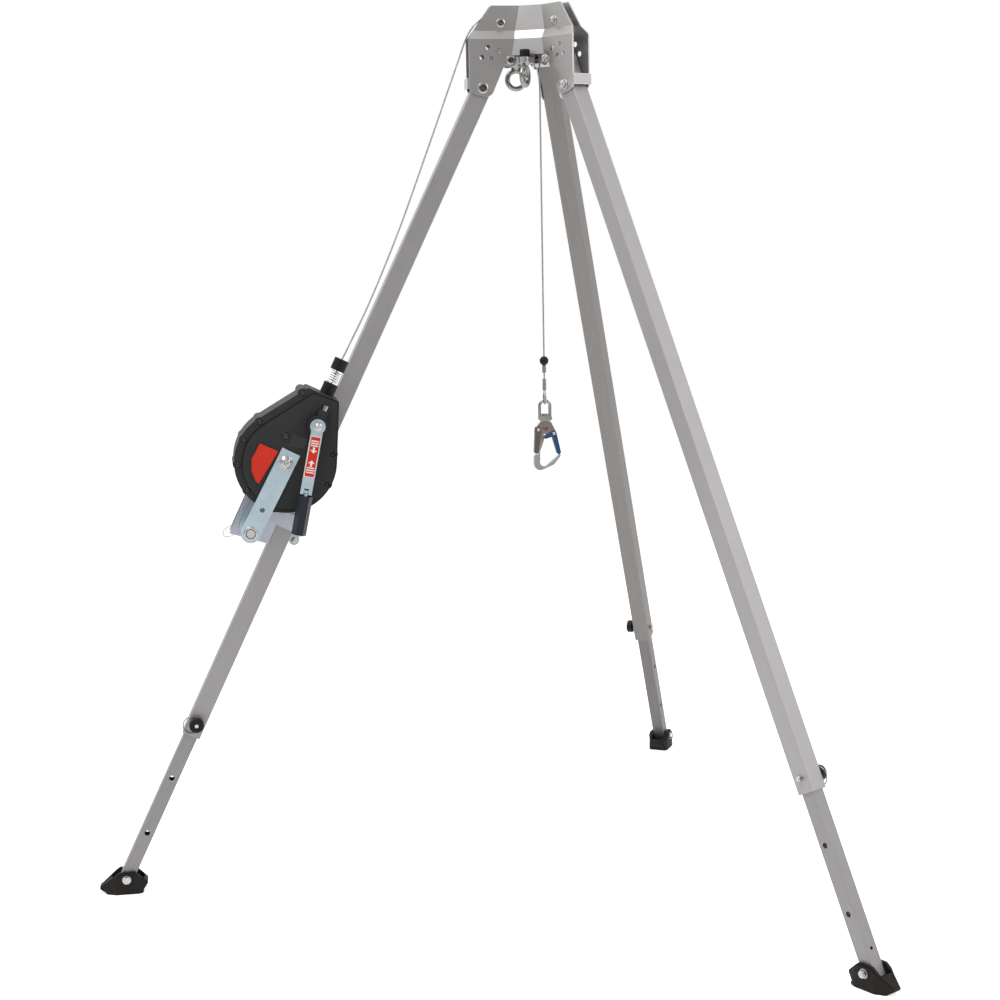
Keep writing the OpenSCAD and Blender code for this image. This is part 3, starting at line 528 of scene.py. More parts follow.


# One look for each finish: dark and light cloud tones, a lighter edge colour that is partly rub wear and partly
# painted highlight, grain and gloss
looks = {
    # the plates' near-white edge colour is a painted highlight on their rims
    "plateAlloy": {"dark": "9c9a99", "light": "adabaa", "line": "c2c0bf", "axis": (0.0, 0.0, 1.0),
                   "streak": 0.35, "rough": 0.33, "metal": 0.85, "rub": "f2f1f0", "rubAndSheenBy": 1.0,
                   "rubAndSheenReach": 0.003, "rubAndSheenRough": 0.22, "bump": 0.08},
    "zincSteel": {"dark": "8ba0ab", "light": "c2d0d7", "speck": "7d8d98", "rough": 0.3, "metal": 0.8,
                  "rub": "e6edf0", "rubAndSheenBy": 0.7, "blotch": 22.0, "bump": 0.06},
    "bracketZinc": {"dark": "9498a4", "light": "babcc7", "speck": "83838f", "rough": 0.34, "metal": 0.75,
                    "rub": "e4e1e7", "rubAndSheenBy": 0.7, "blotch": 26.0, "bump": 0.06},
    "washerSteel": {"dark": "a3a2a0", "light": "c3c2c0", "rough": 0.24, "metal": 0.9,
                    "rub": "f0efed", "rubAndSheenBy": 0.6, "blotch": 60.0, "bump": 0.04},
    "boltSteel": {"dark": "443e39", "light": "655e57", "rough": 0.26, "metal": 0.9,
                  "rub": "d9d5d1", "rubAndSheenBy": 0.8, "blotch": 80.0, "bump": 0.05},
    "eyeSteel": {"dark": "767776", "light": "a2a19f", "rough": 0.16, "metal": 1.0,
                 "rub": "d6d5d3", "rubAndSheenBy": 0.5, "blotch": 30.0, "bump": 0.05},
    "sleeveSteel": {"dark": "6a6a6a", "light": "8d8d8c", "speck": "4f4f4e", "rough": 0.42, "metal": 0.7,
                    "rub": "b5b5b4", "rubAndSheenBy": 0.7, "blotch": 90.0, "bump": 0.12},
    "darkScrew": {"dark": "0d0d0e", "light": "18181a", "rough": 0.24,
                  "rub": "4a4a4c", "rubAndSheenBy": 0.5, "blotch": 80.0},
    "springSteel": {"dark": "8f9092", "light": "bcbdbe", "rough": 0.25, "metal": 0.95,
                    "blotch": 120.0, "bump": 0.04},
    "cableWire": {"dark": "838383", "light": "acacac", "speck": "504f4d", "rough": 0.38, "metal": 0.8,
                  "blotch": 40.0, "bump": 0.05},
    "blackMoulding": {"dark": "0a0a0b", "light": "131314", "rough": 0.5, "specular": 0.22,
                      "rub": "2a2a2d", "rubAndSheenBy": 0.5, "grain": 2200.0, "bump": 0.25},
    "housingShell": {"dark": "282828", "light": "323233", "speck": "414142", "rough": 0.58, "specular": 0.2,
                     "rub": "525253", "rubAndSheenBy": 0.6, "grain": 1500.0, "bump": 0.4},
    "shoeRubber": {"dark": "100d0b", "light": "1b1714", "speck": "3a3937", "rough": 0.66, "specular": 0.25,
                   "rub": "45403c", "rubAndSheenBy": 0.5, "grain": 900.0, "blotch": 25.0, "bump": 0.4},
    "pulleyNylon": {"dark": "1e1e21", "light": "2c2c30", "rough": 0.42,
                    "rub": "505055", "rubAndSheenBy": 0.5, "grain": 1800.0},
    "navyGrip": {"dark": "0c0f1b", "light": "141829", "rough": 0.36, "specular": 0.3,
                 "rub": "353d58", "rubAndSheenBy": 0.6, "grain": 2200.0, "bump": 0.12, "coat": 0.1},
    "blueGate": {"dark": "1c3a5c", "light": "2d567e", "rough": 0.27, "metal": 0.65,
                 "rub": "8199b6", "rubAndSheenBy": 0.7},
    "bronzeLever": {"dark": "4d4641", "light": "675f59", "rough": 0.36, "metal": 0.6,
                    "rub": "aba49d", "rubAndSheenBy": 0.6},
    "forgedHook": {"dark": "7d7f7e", "light": "a3a5a4", "speck": "8f9193", "rough": 0.24, "metal": 0.9,
                   "rub": "e6e7e6", "rubAndSheenBy": 0.6, "blotch": 45.0, "bump": 0.1,
                   "upper": {"tone": "84746e", "from": 1.212, "to": 1.232}},  # warmer finish on the neck
    "redPanel": {"dark": "c6240f", "light": "d6331b", "rough": 0.46, "specular": 0.3,
                 "rub": "e57a66", "rubAndSheenBy": 0.5, "grain": 2400.0, "bump": 0.08},
    "paleMark": {"dark": "dcdad6", "light": "efeeea", "rough": 0.5, "grain": 2400.0, "bump": 0.05},
}
tubeLook = {"dark": "868384", "light": "959293", "line": "b2afaf", "streak": 0.5, "rough": 0.44, "metal": 0.55,
            "rub": "cfcdcc", "rubAndSheenBy": 0.7, "rubAndSheenReach": 0.002, "bump": 0.12, "fineness": 700.0}
# the right leg's tubes are painted lighter, as painted light, and the back leg's darker, as painted shade; the
# left leg keeps the plain tones
tubeLightAndShade = {
    "tubeAlloy": {"left": {}, "right": {"dark": "979495", "light": "a8a5a6"},
                  "back": {"dark": "696663", "light": "76726f"}},
    "innerAlloy": {"left": {"dark": "757374", "light": "848283"}, "right": {"dark": "7f7d7d", "light": "8f8d8d"},
                   "back": {"dark": "54514f", "light": "605d5a"}},
}
for kind, tones in tubeLightAndShade.items():
    for side, tone in tones.items():
        looks[kind + side.title()] = {**tubeLook, **tone, "axis": tuple(legMatrix(side).col[2].xyz)}
finishes = {name: makeFinish(name, look) for name, look in looks.items()}

# Which finish each carried-over solid takes
wears = {
    "plateAlloy": ["head_plate_front", "head_plate_right", "head_plate_left", "channel_straps", "pulley_cheeks",
                   "anchor_lugs"],
    "eyeSteel": ["anchor_eyes", "swivel_link", "selector_pin"],
    "zincSteel": ["head_bolts", "drum_axle", "crank_pinion", "crank_arm", "crank_spindle", "hanger_arms",
                  "cable_end", "cable_drum"],
    "washerSteel": ["bracket_pin", "stop_sleeves", "centre_axle"],
    "bracketZinc": ["leg_bracket"],
    "darkScrew": ["housing_screws"],
    "springSteel": ["recoil_spring", "buffer_spring"],
    "pulleyNylon": ["outer_pulley", "centre_pulley"],
    "housingShell": ["housing_front", "housing_rear"],
    "blackMoulding": ["cable_buffers"],
    "navyGrip": ["crank_grip"],
    "forgedHook": ["hook_body"],
    "blueGate": ["hook_gate"],
    "bronzeLever": ["hook_lever"],
    "shoeRubber": [],
}
for side in stance["bearings"]:
    wears["tubeAlloy" + side.title()] = ["outer_tube_" + side]
    wears["innerAlloy" + side.title()] = ["inner_tube_" + side]
    wears["springSteel"] += ["snap_clip_" + side]
    wears["eyeSteel"] += ["pin_ring_" + side]
    wears["washerSteel"] += ["foot_bolt_" + side, "lock_pin_" + side]
    wears["shoeRubber"] += ["foot_shoe_" + side]
    wears["blackMoulding"] += ["lock_knob_" + side]
for finish, wearers in wears.items():
    for node in wearers:
        data = nodes[node].data
        data.materials.clear()
        data.materials.append(finishes[finish])
print("finishes on", sum(len(v) for v in wears.values()), "solids")


# Winch block dressing, in mm in the left leg's own axes
winch = {
    "faceY": 166.0,  # raised face towards the crank side
    "flangeY": 160.0,
    "sunk": 0.4,  # plates start this far inside the face
    "hub": (48.29, -1002.08),  # crank shaft
    "axle": (84.0, -1125.0),
    "panel": [(167, -1106), (114, -1106), (126, -1206), (135, -1204), (156, -1184), (170, -1154)],
    "panelHigh": 1.4,
    "rim": (5.0, 2.6),  # its outer and inner edge, out from the panel
    "rimHigh": 2.0,
    "plate": [(97, -1048), (97, -1082), (52, -1072), (52, -1044)],
    "plateHigh": 0.8,
    "screw": (113, -1061),
    "screwCup": [(13.5, -0.5), (13.5, 1.6), (12.6, 2.2), (9.6, 2.2), (9.0, 1.4), (9.0, -0.3)],
    "cupScrew": [(8.2, -0.3), (8.2, 1.6), (7.4, 3.0), (5.0, 3.9), (3.4, 4.0), (3.2, 2.2), (0.3, 2.2)],
    "face": [(74, -1125, 122), (88, -934, 5), (27, -929, 5)],  # rounds that the raised face is stretched over
    # rows of the painted shade strip in the crease round the raised face
    "creaseShade": [(0.2, -0.3), (0.2, 0.5), (2.6, 0.5), (3.0, -0.3)],  # out from the face, proud of the flange
    "bosses": [(117, -940), (189, -1056), (208, -1115), (196, -1181), (146, -1233), (64, -1248), (-6, -1210),
               (-40, -1135), (-21, -1056)],  # screws round the rim
    "rimScrew": [(6.2, -3.0), (6.2, 1.0), (5.6, 2.6), (4.2, 3.8), (2.4, 4.3), (1.9, 4.2), (1.7, 2.6), (0.2, 2.6)],
    "collar": [(26.3, 0.2), (29.5, 0.2), (29.5, 12.0), (28.6, 13.5), (26.3, 13.5)],
}


def winchPlace(at, y):
    # where a turned piece stands on the crank side of the winch
    return legMatrix("left") @ shift(at[0], y, at[1]) @ alongY()


def addWinchFace():
    base, y = legMatrix("left"), winch["faceY"]
    low = y - winch["sunk"]
    panel = platePiece("redPanel", winch["panel"], low, y + winch["panelHigh"])
    softenEdges(panel, 1.1, 3)
    placeOn(panel, base, "leg_left", "redPanel")
    rim = rimPiece("redPanelRim", winch["panel"], winch["rim"], low, y + winch["rimHigh"])
    softenEdges(rim, 0.7)
    placeOn(rim, base, "leg_left", "housingShell")
    bare = platePiece("barePlate", winch["plate"], low, y + winch["plateHigh"])
    softenEdges(bare, 0.6)
    placeOn(bare, base, "leg_left", "darkScrew")
    place = winchPlace(winch["screw"], y)
    placeOn(turnedPiece("faceScrewCup0", winch["screwCup"]), place, "leg_left", "housingShell")
    placeOn(turnedPiece("faceScrew0", winch["cupScrew"]), place, "leg_left", "darkScrew")


def beltOutline(rounds, grow, step=3):
    # outline of a belt round the given circles
    line = []
    for angle in range(0, 360, step):
        c, s = unitAt(angle)
        x, z, r = max(rounds, key=lambda ring: ring[0] * c + ring[1] * s + ring[2])
        line.append((x + (r + grow) * c, z + (r + grow) * s))
    return line


def addFaceShadeStrip():
    # painted shade: a dark strip in the crease round the raised face, where shade falls at the step down to the
    # flange; screws round the rim, collar round the crank shaft
    base, y = legMatrix("left"), winch["flangeY"]
    verts = [mm(o, y + h, z) for grow, h in winch["creaseShade"] for o, z in beltOutline(winch["face"], grow)]
    rows = len(winch["creaseShade"])
    creaseShade = addPiece("faceCreaseShade", verts, ringRows(rows, len(verts) // rows, closed=True), smooth=False)
    placeOn(creaseShade, base, "leg_left", "blackMoulding")
    heads = []
    for k, (o, z) in enumerate(winch["bosses"]):
        head = turnedPiece("rimScrew%d" % k, winch["rimScrew"], 32)
        heads.append(movedPiece(head, shift(o, y, z) @ alongY()))
    placeOn(joinPieces("rimScrews", heads), base, "leg_left", "darkScrew")
    collar = turnedPiece("hubCollar", winch["collar"])
    placeOn(collar, winchPlace(winch["hub"], winch["faceY"]), "leg_left", "blackMoulding")


# Direction sticker on the crank arm, in mm along the arm from the crank shaft
sticker = {
    "armTurn": 104.0,
    "armY": 196.0,
    "from": 28.0,
    "to": 134.0,
    "half": 14.0,
    "edge": 1.5,  # pale edge past the ends
    "inset": 1.6,  # and along the sides
    "round": 0.12,
    "arrowAt": 17.0,  # from the middle
    "arrow": [(-7.5, 0), (0.5, -9), (0.5, -2.8), (9, -2.8), (9, 2.8), (0.5, 2.8), (0.5, 9)],
    "bars": [13.0, 19.2, 25.4],  # from the arrow
    "barHalf": (1.6, 10.0),
    "marks": (0.2, 0.6),  # where arrows and bars start and end in height
}


def oblong(start, end, half):
    return [(start, -half), (end, -half), (end, half), (start, half)]


def addSticker():
    y, half, edge = sticker["armY"], sticker["half"], sticker["edge"]
    a, b = sticker["from"], sticker["to"]
    o, z = winch["hub"]
    base = legMatrix("left") @ shift(o, 0, z) @ Matrix.Rotation(math.radians(sticker["armTurn"]), 4, "Y")

    def flat(name, outline, low, high, finish):
        obj = platePiece(name, outline, y + low, y + high)
        softenEdges(obj, sticker["round"])
        placeOn(obj, base, "crank", finish)
    flat("armStickerEdge", oblong(a - edge, b + edge, half), -0.05, 0.25, "paleMark")
    flat("armStickerRed", oblong(a, b, half - sticker["inset"]), 0.0, 0.45, "redPanel")
    wide, long = sticker["barHalf"]
    for k, way in enumerate((-1, 1)):
        tip = (a + b) / 2 + way * sticker["arrowAt"]
        for i, far in enumerate(sticker["bars"]):
            x = tip + way * far
            flat("armBar%d%d" % (k, i), oblong(x - wide, x + wide, long), *sticker["marks"], "paleMark")
        arrow = [(tip + way * dx, way * dz) for dx, dz in sticker["arrow"]]
        flat("armArrow%d" % k, arrow, *sticker["marks"], "paleMark")


# Black caps over the anchor eye shanks, in mm, low from the height of the leg pivots
eyeCap = {
    "lugR": 84.0,
    "low": 77.0,
    "high": 20.5,
    "across": 27.0,
    "bearings": {"Front": 240.0, "Right": 0.0, "Rear": 120.0},
}


def addEyeCaps():
    r, h = eyeCap["across"] / 2, eyeCap["high"]
    rows = [(r - 0.4, 0.3), (r, 0.9), (r, h - 3.2), (r - 0.8, h - 1.2), (r - 2.6, h), (0.6, h + 0.5)]
    middle = Vector((stance["axisX"], 0, stance["pivotZ"]))
    for name, bearing in eyeCap["bearings"].items():
        c, s = unitAt(bearing)
        place = Matrix.Translation(middle + mm(eyeCap["lugR"] * c, eyeCap["lugR"] * s, eyeCap["low"]))
        placeOn(turnedPiece("eyeCap" + name, rows), place, "head", "blackMoulding")


# Bolts across the head: place in the leg's plane, size and half grip length
headBolts = {
    "pivot": {"at": (150.0, 0.0), "size": 16.0, "half": 30.0},
    "pulley": {"at": (96.5, 171.6), "size": 12.0, "half": 16.0},
    "stop": {"at": (73.08, 72.63), "size": 12.0, "half": 30.0},
}


def boltForms(d):
    # outlines for a bolt of size d: washer, round socket head and the thread's end past its nut
    disc, r, h, nut = 0.6 * d + 5.0, 0.66 * d, 0.55 * d + 2.0, 0.6 * d
    return {
        "washer": [(0.5 * d, -0.1), (disc, -0.1), (disc, 1.5), (disc - 0.5, 2.0), (0.5 * d, 2.0)],
        "head": [(r, 1.8), (r, h - 1.6), (r - 0.5, h - 0.5), (r - 1.6, h), (0.42 * d, h), (0.38 * d, h - 0.6),
                 (0.38 * d, h - 0.3 * d), (0.02 * d, h - 0.34 * d)],
        "end": [(0.48 * d, 1.8), (0.48 * d, nut + 3.2), (0.4 * d, nut + 3.9), (0.4, nut + 3.9)],
    }


def addHeadBolts():
    washers, heads = [], []
    for side in stance["bearings"]:
        for key, bolt in headBolts.items():
            d, half = bolt["size"], bolt["half"]
            forms = boltForms(d)
            base = planeMatrix(side) @ shift(bolt["at"][0], 0, bolt["at"][1])
            for way in (1, -1):
                turn = base @ Matrix.Rotation(-way * math.pi / 2, 4, "X") @ shift(0, 0, half)
                name = side + key + ("Head" if way > 0 else "Nut")
                washers.append(movedPiece(turnedPiece(name + "Washer", forms["washer"]), turn))
                if way > 0:
                    heads.append(movedPiece(turnedPiece(name, forms["head"]), turn))
                else:
                    washers.append(movedPiece(hexPiece(name, 1.35 * d, 1.8, 0.6 * d + 2.0, 0.9), turn))
                    washers.append(movedPiece(turnedPiece(name + "End", forms["end"]), turn))
            shank = turnedPiece(side + key + "Shank", [(0.49 * d, -half - 1.0), (0.49 * d, half + 1.0)])
            heads.append(movedPiece(shank, base @ alongY()))
    placeOn(joinPieces("headWashers", washers), Matrix.Identity(4), "head", "washerSteel")
    bolts = placeOn(joinPieces("headBoltSet", heads), Matrix.Identity(4), "head", "boltSteel")
    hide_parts("head_bolts")
    print("head bolts placed:", len(headBolts) * len(stance["bearings"]))


# Sprung clip in the top of each leg: its buttons sit in the head's index holes
snapClip = {
    "leafY": 19.6,
    "leafT": 1.6,
    "leafW": 16.0,
    "low": 34.0,
    "top": 114.0,
    "far": 108.0,
    "farTip": 29.4,
    "near": 81.0,
    "nearTip": 25.2,
    "button": 6.5,
    "pressed": 0.8,
}


def clipButton(name, tip, z):
    r, y = snapClip["button"], snapClip["leafY"] - snapClip["leafT"]
    rows = [(r, y), (r, tip - 1.6), (r - 0.5, tip - 0.7), (r - 1.6, tip - 0.15), (0.4, tip)]
    return movedPiece(turnedPiece(name, rows, 32), shift(0, 0, z) @ alongY())


def addSnapClips():
    y, low, half = snapClip["leafY"], snapClip["low"], snapClip["leafW"] / 2
    slim = 1 - snapClip["leafT"] / y
    bend = [unitAt(a) for a in range(0, -181, -12)]
    line = [(y, snapClip["top"])] + [(y * c, low + y * s) for c, s in bend] + [(-y, snapClip["top"])]
    inner = [(v * slim, z if z > low else low + (z - low) * slim) for v, z in line]
    rings = [[(-half, a), (half, a), (half, b), (-half, b)] for a, b in zip(line, inner)]
    verts = [mm(x, p[0], p[1]) for ring in rings for x, p in ring]
    faces = ringRows(len(rings), 4) + endCaps(len(rings), 4)
    for side in stance["bearings"]:
        base = legMatrix(side)
        parts = [addPiece(side + "Leaf", verts, faces)]
        for way in (0, 1):
            for end in ("far", "near"):
                button = clipButton("%s%s%d" % (side, end, way), snapClip[end + "Tip"], snapClip[end])
                parts.append(movedPiece(button, Matrix.Rotation(way * math.pi, 4, "Z")))
        clip = joinPieces("snapClip" + side.title(), parts)
        placeOn(clip, base, "leg_" + side, "springSteel")
        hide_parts("snap_clip_" + side)
        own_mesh(clip)


# Fasteners on the winch, in the left leg's axes: place out and up, where the face lies, head radius
winchFasteners = {
    "hubBolt": {"at": winch["hub"], "face": 203.0, "r": 11.0, "body": "crank", "finish": "washerSteel"},
    "armRivet": {"at": (89.4, -1266.0), "face": 171.0, "r": 6.5, "body": "leg_left", "finish": "boltSteel"},
    "tabBolt": {"at": (-40.0, -1330.0), "face": -2.0, "r": 8.5, "body": "leg_left", "finish": "washerSteel"},
}
drumBolt = {  # radius and place along the axle, from the rear head to the front one
    "rows": [(0.3, 21.4), (9.0, 21.4), (12.0, 22.6), (13.5, 25.0), (14.0, 28.8), (18.0, 29.2), (18.0, 30.6),
             (10.0, 30.9), (9.8, 171.1), (17.6, 171.1), (18.2, 171.6), (18.2, 172.6), (17.6, 173.2),
             (14.6, 173.3), (14.4, 175.6), (13.4, 178.0), (11.0, 180.0), (8.0, 180.9), (5.6, 181.0),
             (5.2, 180.4), (5.0, 177.4), (0.3, 177.0)],
    "bush": [(12.4, 171.0), (12.4, 173.2), (13.4, 174.0), (17.0, 174.0), (18.4, 173.0), (18.6, 170.8)],
    "bushAt": (92.0, -1336.0),
}


def addWinchFasteners():
    for name, bolt in winchFasteners.items():
        r = bolt["r"]
        rows = [(r, -0.4), (r, 0.9), (r - 0.6, 1.4), (0.72 * r, 1.5), (0.7 * r, 2.2), (0.62 * r, 0.3 * r + 1.6),
                (0.45 * r, 0.4 * r + 1.9), (0.26 * r, 0.43 * r + 2.0), (0.22 * r, 0.3 * r + 1.2),
                (0.02 * r, 0.3 * r + 1.0)]
        place = winchPlace(bolt["at"], bolt["face"])
        placeOn(turnedPiece(name, rows), place, bolt["body"], bolt["finish"])
    axle = turnedPiece("drumAxleBolt", drumBolt["rows"])
    placeOn(axle, winchPlace(winch["axle"], 0), "leg_left", "washerSteel")
    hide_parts("drum_axle")
    bush = turnedPiece("hangerBush", drumBolt["bush"])
    placeOn(bush, winchPlace(drumBolt["bushAt"], 0), "leg_left", "washerSteel")


# Moulded shoes: the solid's own form with rounded rims, drawn in towards toe and heel, and a web in the toe
shoe = {
    "round": 0.0045,
    "flat": 0.01,  # faces that differ by a smaller angle become one
    "sharp": 0.6,  # edges from this angle on are rounded
    "longEdge": 0.009,  # shorter edges belong to the bolt hole
    "waist": 0.030,  # from here the sides are drawn in
    "toe": 0.62,
    "toeEnd": 0.068,
    "heel": 0.26,
    "heelEnd": 0.052,
    "slotHalf": 0.0225,
    "slotDraw": 0.5,
    "web": [(0.041, 0.012), (0.0605, 0.012), (0.0605, 0.0300), (0.041, 0.0440)],
    "webHalf": (0.0218, 0.0125, 0.0125, 0.0218),
}


def shoeTaper(x, y):
    if abs(y) < shoe["slotHalf"]:
        # the slot keeps its width wherever the leg swings
        start, end = shoe["web"][0][0], shoe["web"][1][0]
        return 1.0 if x < start + 0.001 else 1.0 - shoe["slotDraw"] * (x - start) / (end - start)
    end, draw = (shoe["toeEnd"], shoe["toe"]) if x > 0 else (shoe["heelEnd"], shoe["heel"])
    return 1.0 - draw * min(max((abs(x) - shoe["waist"]) / (end - shoe["waist"]), 0.0), 1.0)


def addShoes():
    for side in stance["bearings"]:
        base = planeMatrix(side)
        bm = bmesh.new()
        bm.from_mesh(nodes["foot_shoe_" + side].data)
        bm.transform(base.inverted())
        bmesh.ops.dissolve_limit(bm, angle_limit=shoe["flat"], verts=bm.verts[:], edges=bm.edges[:])
        rims = [e for e in bm.edges if len(e.link_faces) == 2 and e.calc_length() > shoe["longEdge"]
                and e.calc_face_angle() > shoe["sharp"]]
        bmesh.ops.bevel(bm, geom=rims, offset=shoe["round"], segments=3, profile=0.5, affect="EDGES",
                        clamp_overlap=True)
        lowCorner, highCorner = (Vector(v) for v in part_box("foot_bolt_" + side))
        midX = (base.inverted() @ ((lowCorner + highCorner) / 2)).x
        low = min(v.co.z for v in bm.verts)
        for cut in (-shoe["waist"], shoe["waist"], shoe["web"][0][0]):
            bmesh.ops.bisect_plane(bm, geom=bm.verts[:] + bm.edges[:] + bm.faces[:],
                                   plane_co=(midX + cut, 0, 0), plane_no=(1, 0, 0))
        for v in bm.verts:
            v.co.y *= shoeTaper(v.co.x - midX, v.co.y)
        corners = [bm.verts.new((midX + x, way * half, low + z))
                   for way in (-1, 1) for (x, z), half in zip(shoe["web"], shoe["webHalf"])]
        web = [(0, 1, 2, 3), (7, 6, 5, 4)] + [(k, k + 4, (k + 1) % 4 + 4, (k + 1) % 4) for k in range(4)]
        webFaces = [bm.faces.new([corners[k] for k in face]) for face in web]
        bmesh.ops.recalc_face_normals(bm, faces=webFaces)
        bmesh.ops.triangulate(bm, faces=bm.faces[:])
        obj = bmeshPiece("mouldedShoe" + side.title(), bm)
        placeOn(obj, base, "shoe_" + side, "shoeRubber")
        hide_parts("foot_shoe_" + side)
    print("shoes moulded,", len(obj.data.polygons), "faces each")


addShoes()
addWinchFace()
addFaceShadeStrip()
addWinchFasteners()
addSticker()
addEyeCaps()
addHeadBolts()
addSnapClips()
print("winch face, sticker, caps and clips placed")


# Steel cable from the winch block over both pulleys to the stop ball, in mm
cable = {
    "bore": 4.8,  # across the strands
    "strands": 6,
    "lay": 34.0,  # length of one turn of the strands
    "outlet": [(-297.27, -98, 1381.17), (-271.41, -98, 1434.2), (-251.68, -98, 1474.64), (-230.16, -94, 1514.21),
               (-169.57, -80, 1629.3), (-86.39, -56, 1811.25), (-0.83, -30, 2023.19), (81.63, -9, 2233.31),
               (113.48, -1, 2314.58), (134.61, 0, 2348.77)],
    "outer": (206.73, 2355.53, 42.0),  # x, z and running radius of the outer pulley
    "outerArc": range(48, 91, 4),  # degrees of it that the cable lies on
    "centre": (289.23, 2372.53, 25.0),
    "centreArc": range(90, -1, -6),
    "dropEnd": (314.23, 1370.0),  # inside the lower sleeve
    "step": 4.0,
}


def cableLine():
    points = smoothLine(cable["outlet"], cable["step"])
    x, z, r = cable["outer"]
    for c, s in map(unitAt, cable["outerArc"]):
        points.append(Vector((x - r * c, 0, z + r * s)))
    x2, z2, r2 = cable["centre"]
    span = int((x2 - x) / cable["step"])
    points += [Vector((x + (x2 - x) * k / span, 0, z + r)) for k in range(1, span)]
    for c, s in map(unitAt, cable["centreArc"]):
        points.append(Vector((x2 + r2 * c, 0, z2 + r2 * s)))
    x3, z3 = cable["dropEnd"]
    fall = int((z2 - z3) / cable["step"])
    points += [Vector((x3, 0, z2 + (z3 - z2) * k / fall)) for k in range(1, fall + 1)]
    return [p / 1000.0 for p in points]


# Fittings on the lower end of the cable, in mm: heights, then radius
cableFoot = {
    "x": 314.23,
    "ball": (1444.0, 12.5),
    "ballGroove": 0.45,
    "upperSleeve": (1432.0, 1411.0, 5.9),
    "lowerSleeve": (1394.0, 1362.0, 5.6),
    "crimps": {"upperSleeve": 2, "lowerSleeve": 4},
    "loop": (1340.0, 16.0),
    "liner": 14.3,
}


def sleeveOutline(top, low, r, crimps):
    rows = [(r * 0.55, low), (r * 0.9, low + 0.6), (r, low + 2.0)]
    pitch = (top - low - 6.0) / crimps
    for k in range(crimps):
        z = low + 3.0 + k * pitch
        rows += [(r, z + 0.1 * pitch), (r - 0.7, z + 0.3 * pitch), (r - 0.7, z + 0.7 * pitch),
                 (r, z + 0.9 * pitch)]
    return rows + [(r, top - 2.0), (r * 0.9, top - 0.6), (r * 0.55, top)]


def loopLine(reach):
    # leaves the lower sleeve, turns round the swivel and comes back in
    mid = cableFoot["loop"][0]
    neck = cableFoot["lowerSleeve"][1] + 3.0
    points = [(2.3, neck), (2.6, neck - 4), (0.62 * reach, mid + 12)]
    points += [(reach * c, mid + reach * s) for c, s in map(unitAt, range(20, -201, -20))]
    points += [(-0.62 * reach, mid + 12), (-2.6, neck - 4), (-2.3, neck)]
    return [v / 1000 for v in smoothLine([(0, y, h) for y, h in points], 1.5)]


def addCableFoot():
    at = shift(cableFoot["x"], 0, 0)
    z, r = cableFoot["ball"]
    rows = [(3.0, -r + 0.1), (3.6, -r + 0.1)]
    for a in range(-70, 71, 7):
        c, s = unitAt(a)
        ring = r - (cableFoot["ballGroove"] if a == 0 else 0.0)
        rows.append((ring * c, ring * s))
    rows += [(3.6, r - 0.1), (3.0, r - 0.1)]
    ball = turnedPiece("stopBall", [(v, z + h) for v, h in rows])
    placeOn(ball, at, "head", "blackMoulding")
    sleeves = [turnedPiece(name, sleeveOutline(*cableFoot[name], crimps))
               for name, crimps in cableFoot["crimps"].items()]
    sleeves = placeOn(joinPieces("cableSleeves", sleeves), at, "head", "sleeveSteel")
    section = strandSection(cable["bore"] / 1000, cable["strands"], (1, 0, 0))
    loop, _ = sweptTube("cableLoop", loopLine(cableFoot["loop"][1]), section, cable["lay"] / 1000)
    placeOn(loop, at, "head", "cableWire")
    trough = {"sides": 16, "side": Vector((1, 0, 0)), "radius": lambda a: 0.0014 + 0.0016 * abs(math.cos(a))}
    liner, _ = sweptTube("loopLiner", loopLine(cableFoot["liner"])[4:-4], trough)
    placeOn(liner, at, "head", "springSteel")
    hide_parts("cable_end")
    return [ball, sleeves, loop, liner]


def addCable():
    line = cableLine()
    section = strandSection(cable["bore"] / 1000, cable["strands"], (0, 1, 0))
    obj, run = sweptTube("liftingCable", line, section, cable["lay"] / 1000)
    obj.data.materials.append(finishes["cableWire"])
    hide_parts("cable_run", "cable_drop")
    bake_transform(obj)
    addCableFoot()
    print("cable length", round(run, 3))


# Thin wire that keeps the hanger pin on its bracket, in mm in the left leg's axes
pinWire = {
    "bore": 1.8,
    "strands": 6,
    "lay": 12.0,
    "step": 1.5,
    "points": [(98, 0, -1338.5), (112, 0, -1344), (126, 0, -1353), (139, 0, -1366), (147, 0, -1382),
               (141, 0, -1394), (128, 0, -1391), (113, 0, -1376), (102, 0, -1358), (95.5, 0, -1342.2)],
}


def addPinWire():
    base = legMatrix("left")
    line = [base @ (v / 1000) for v in smoothLine(pinWire["points"], pinWire["step"])]
    section = strandSection(pinWire["bore"] / 1000, pinWire["strands"], (0, 1, 0))
    obj, run = sweptTube("pinWire", line, section, pinWire["lay"] / 1000)
    obj.data.materials.append(finishes["sleeveSteel"])
    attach(obj, "leg_left")


# Rivet heads on the hook's two pins and a coil on its neck, in mm beside and above the swivel
hookTrim = {
    "swivel": (314.23, 1276.6),
    "rivets": {"gate": (24.0, -36.0), "lever": (-20.0, -24.0)},
    "rivetFace": 7.5,  # from the hook's middle
    "rivet": [(4.4, -0.4), (4.4, 0.5), (3.9, 1.3), (2.6, 2.0), (0.3, 2.2)],
    "coilAt": (1.0, -20.0),
    "coilFace": 3.6,
    "coil": [(6.6, -0.3), (6.6, 0.6), (6.0, 1.6), (4.8, 1.9), (3.7, 1.4), (3.4, 0.3), (0.3, 0.1)],
}


def addHookTrim():
    x, z = hookTrim["swivel"]
    trims = [(body + "Rivet", body, at, "rivet", "washerSteel") for body, at in hookTrim["rivets"].items()]
    trims.append(("neckCoil", "hook", hookTrim["coilAt"], "coil", "boltSteel"))
    for way, turn in (("Front", math.pi / 2), ("Back", -math.pi / 2)):
        for name, body, (a, b), form, finish in trims:
            place = shift(x + a, 0, z + b) @ Matrix.Rotation(turn, 4, "X") @ shift(0, 0, hookTrim[form + "Face"])
            placeOn(turnedPiece(name + way, hookTrim[form], 32), place, body, finish)


addHookTrim()
addCable()
addPinWire()


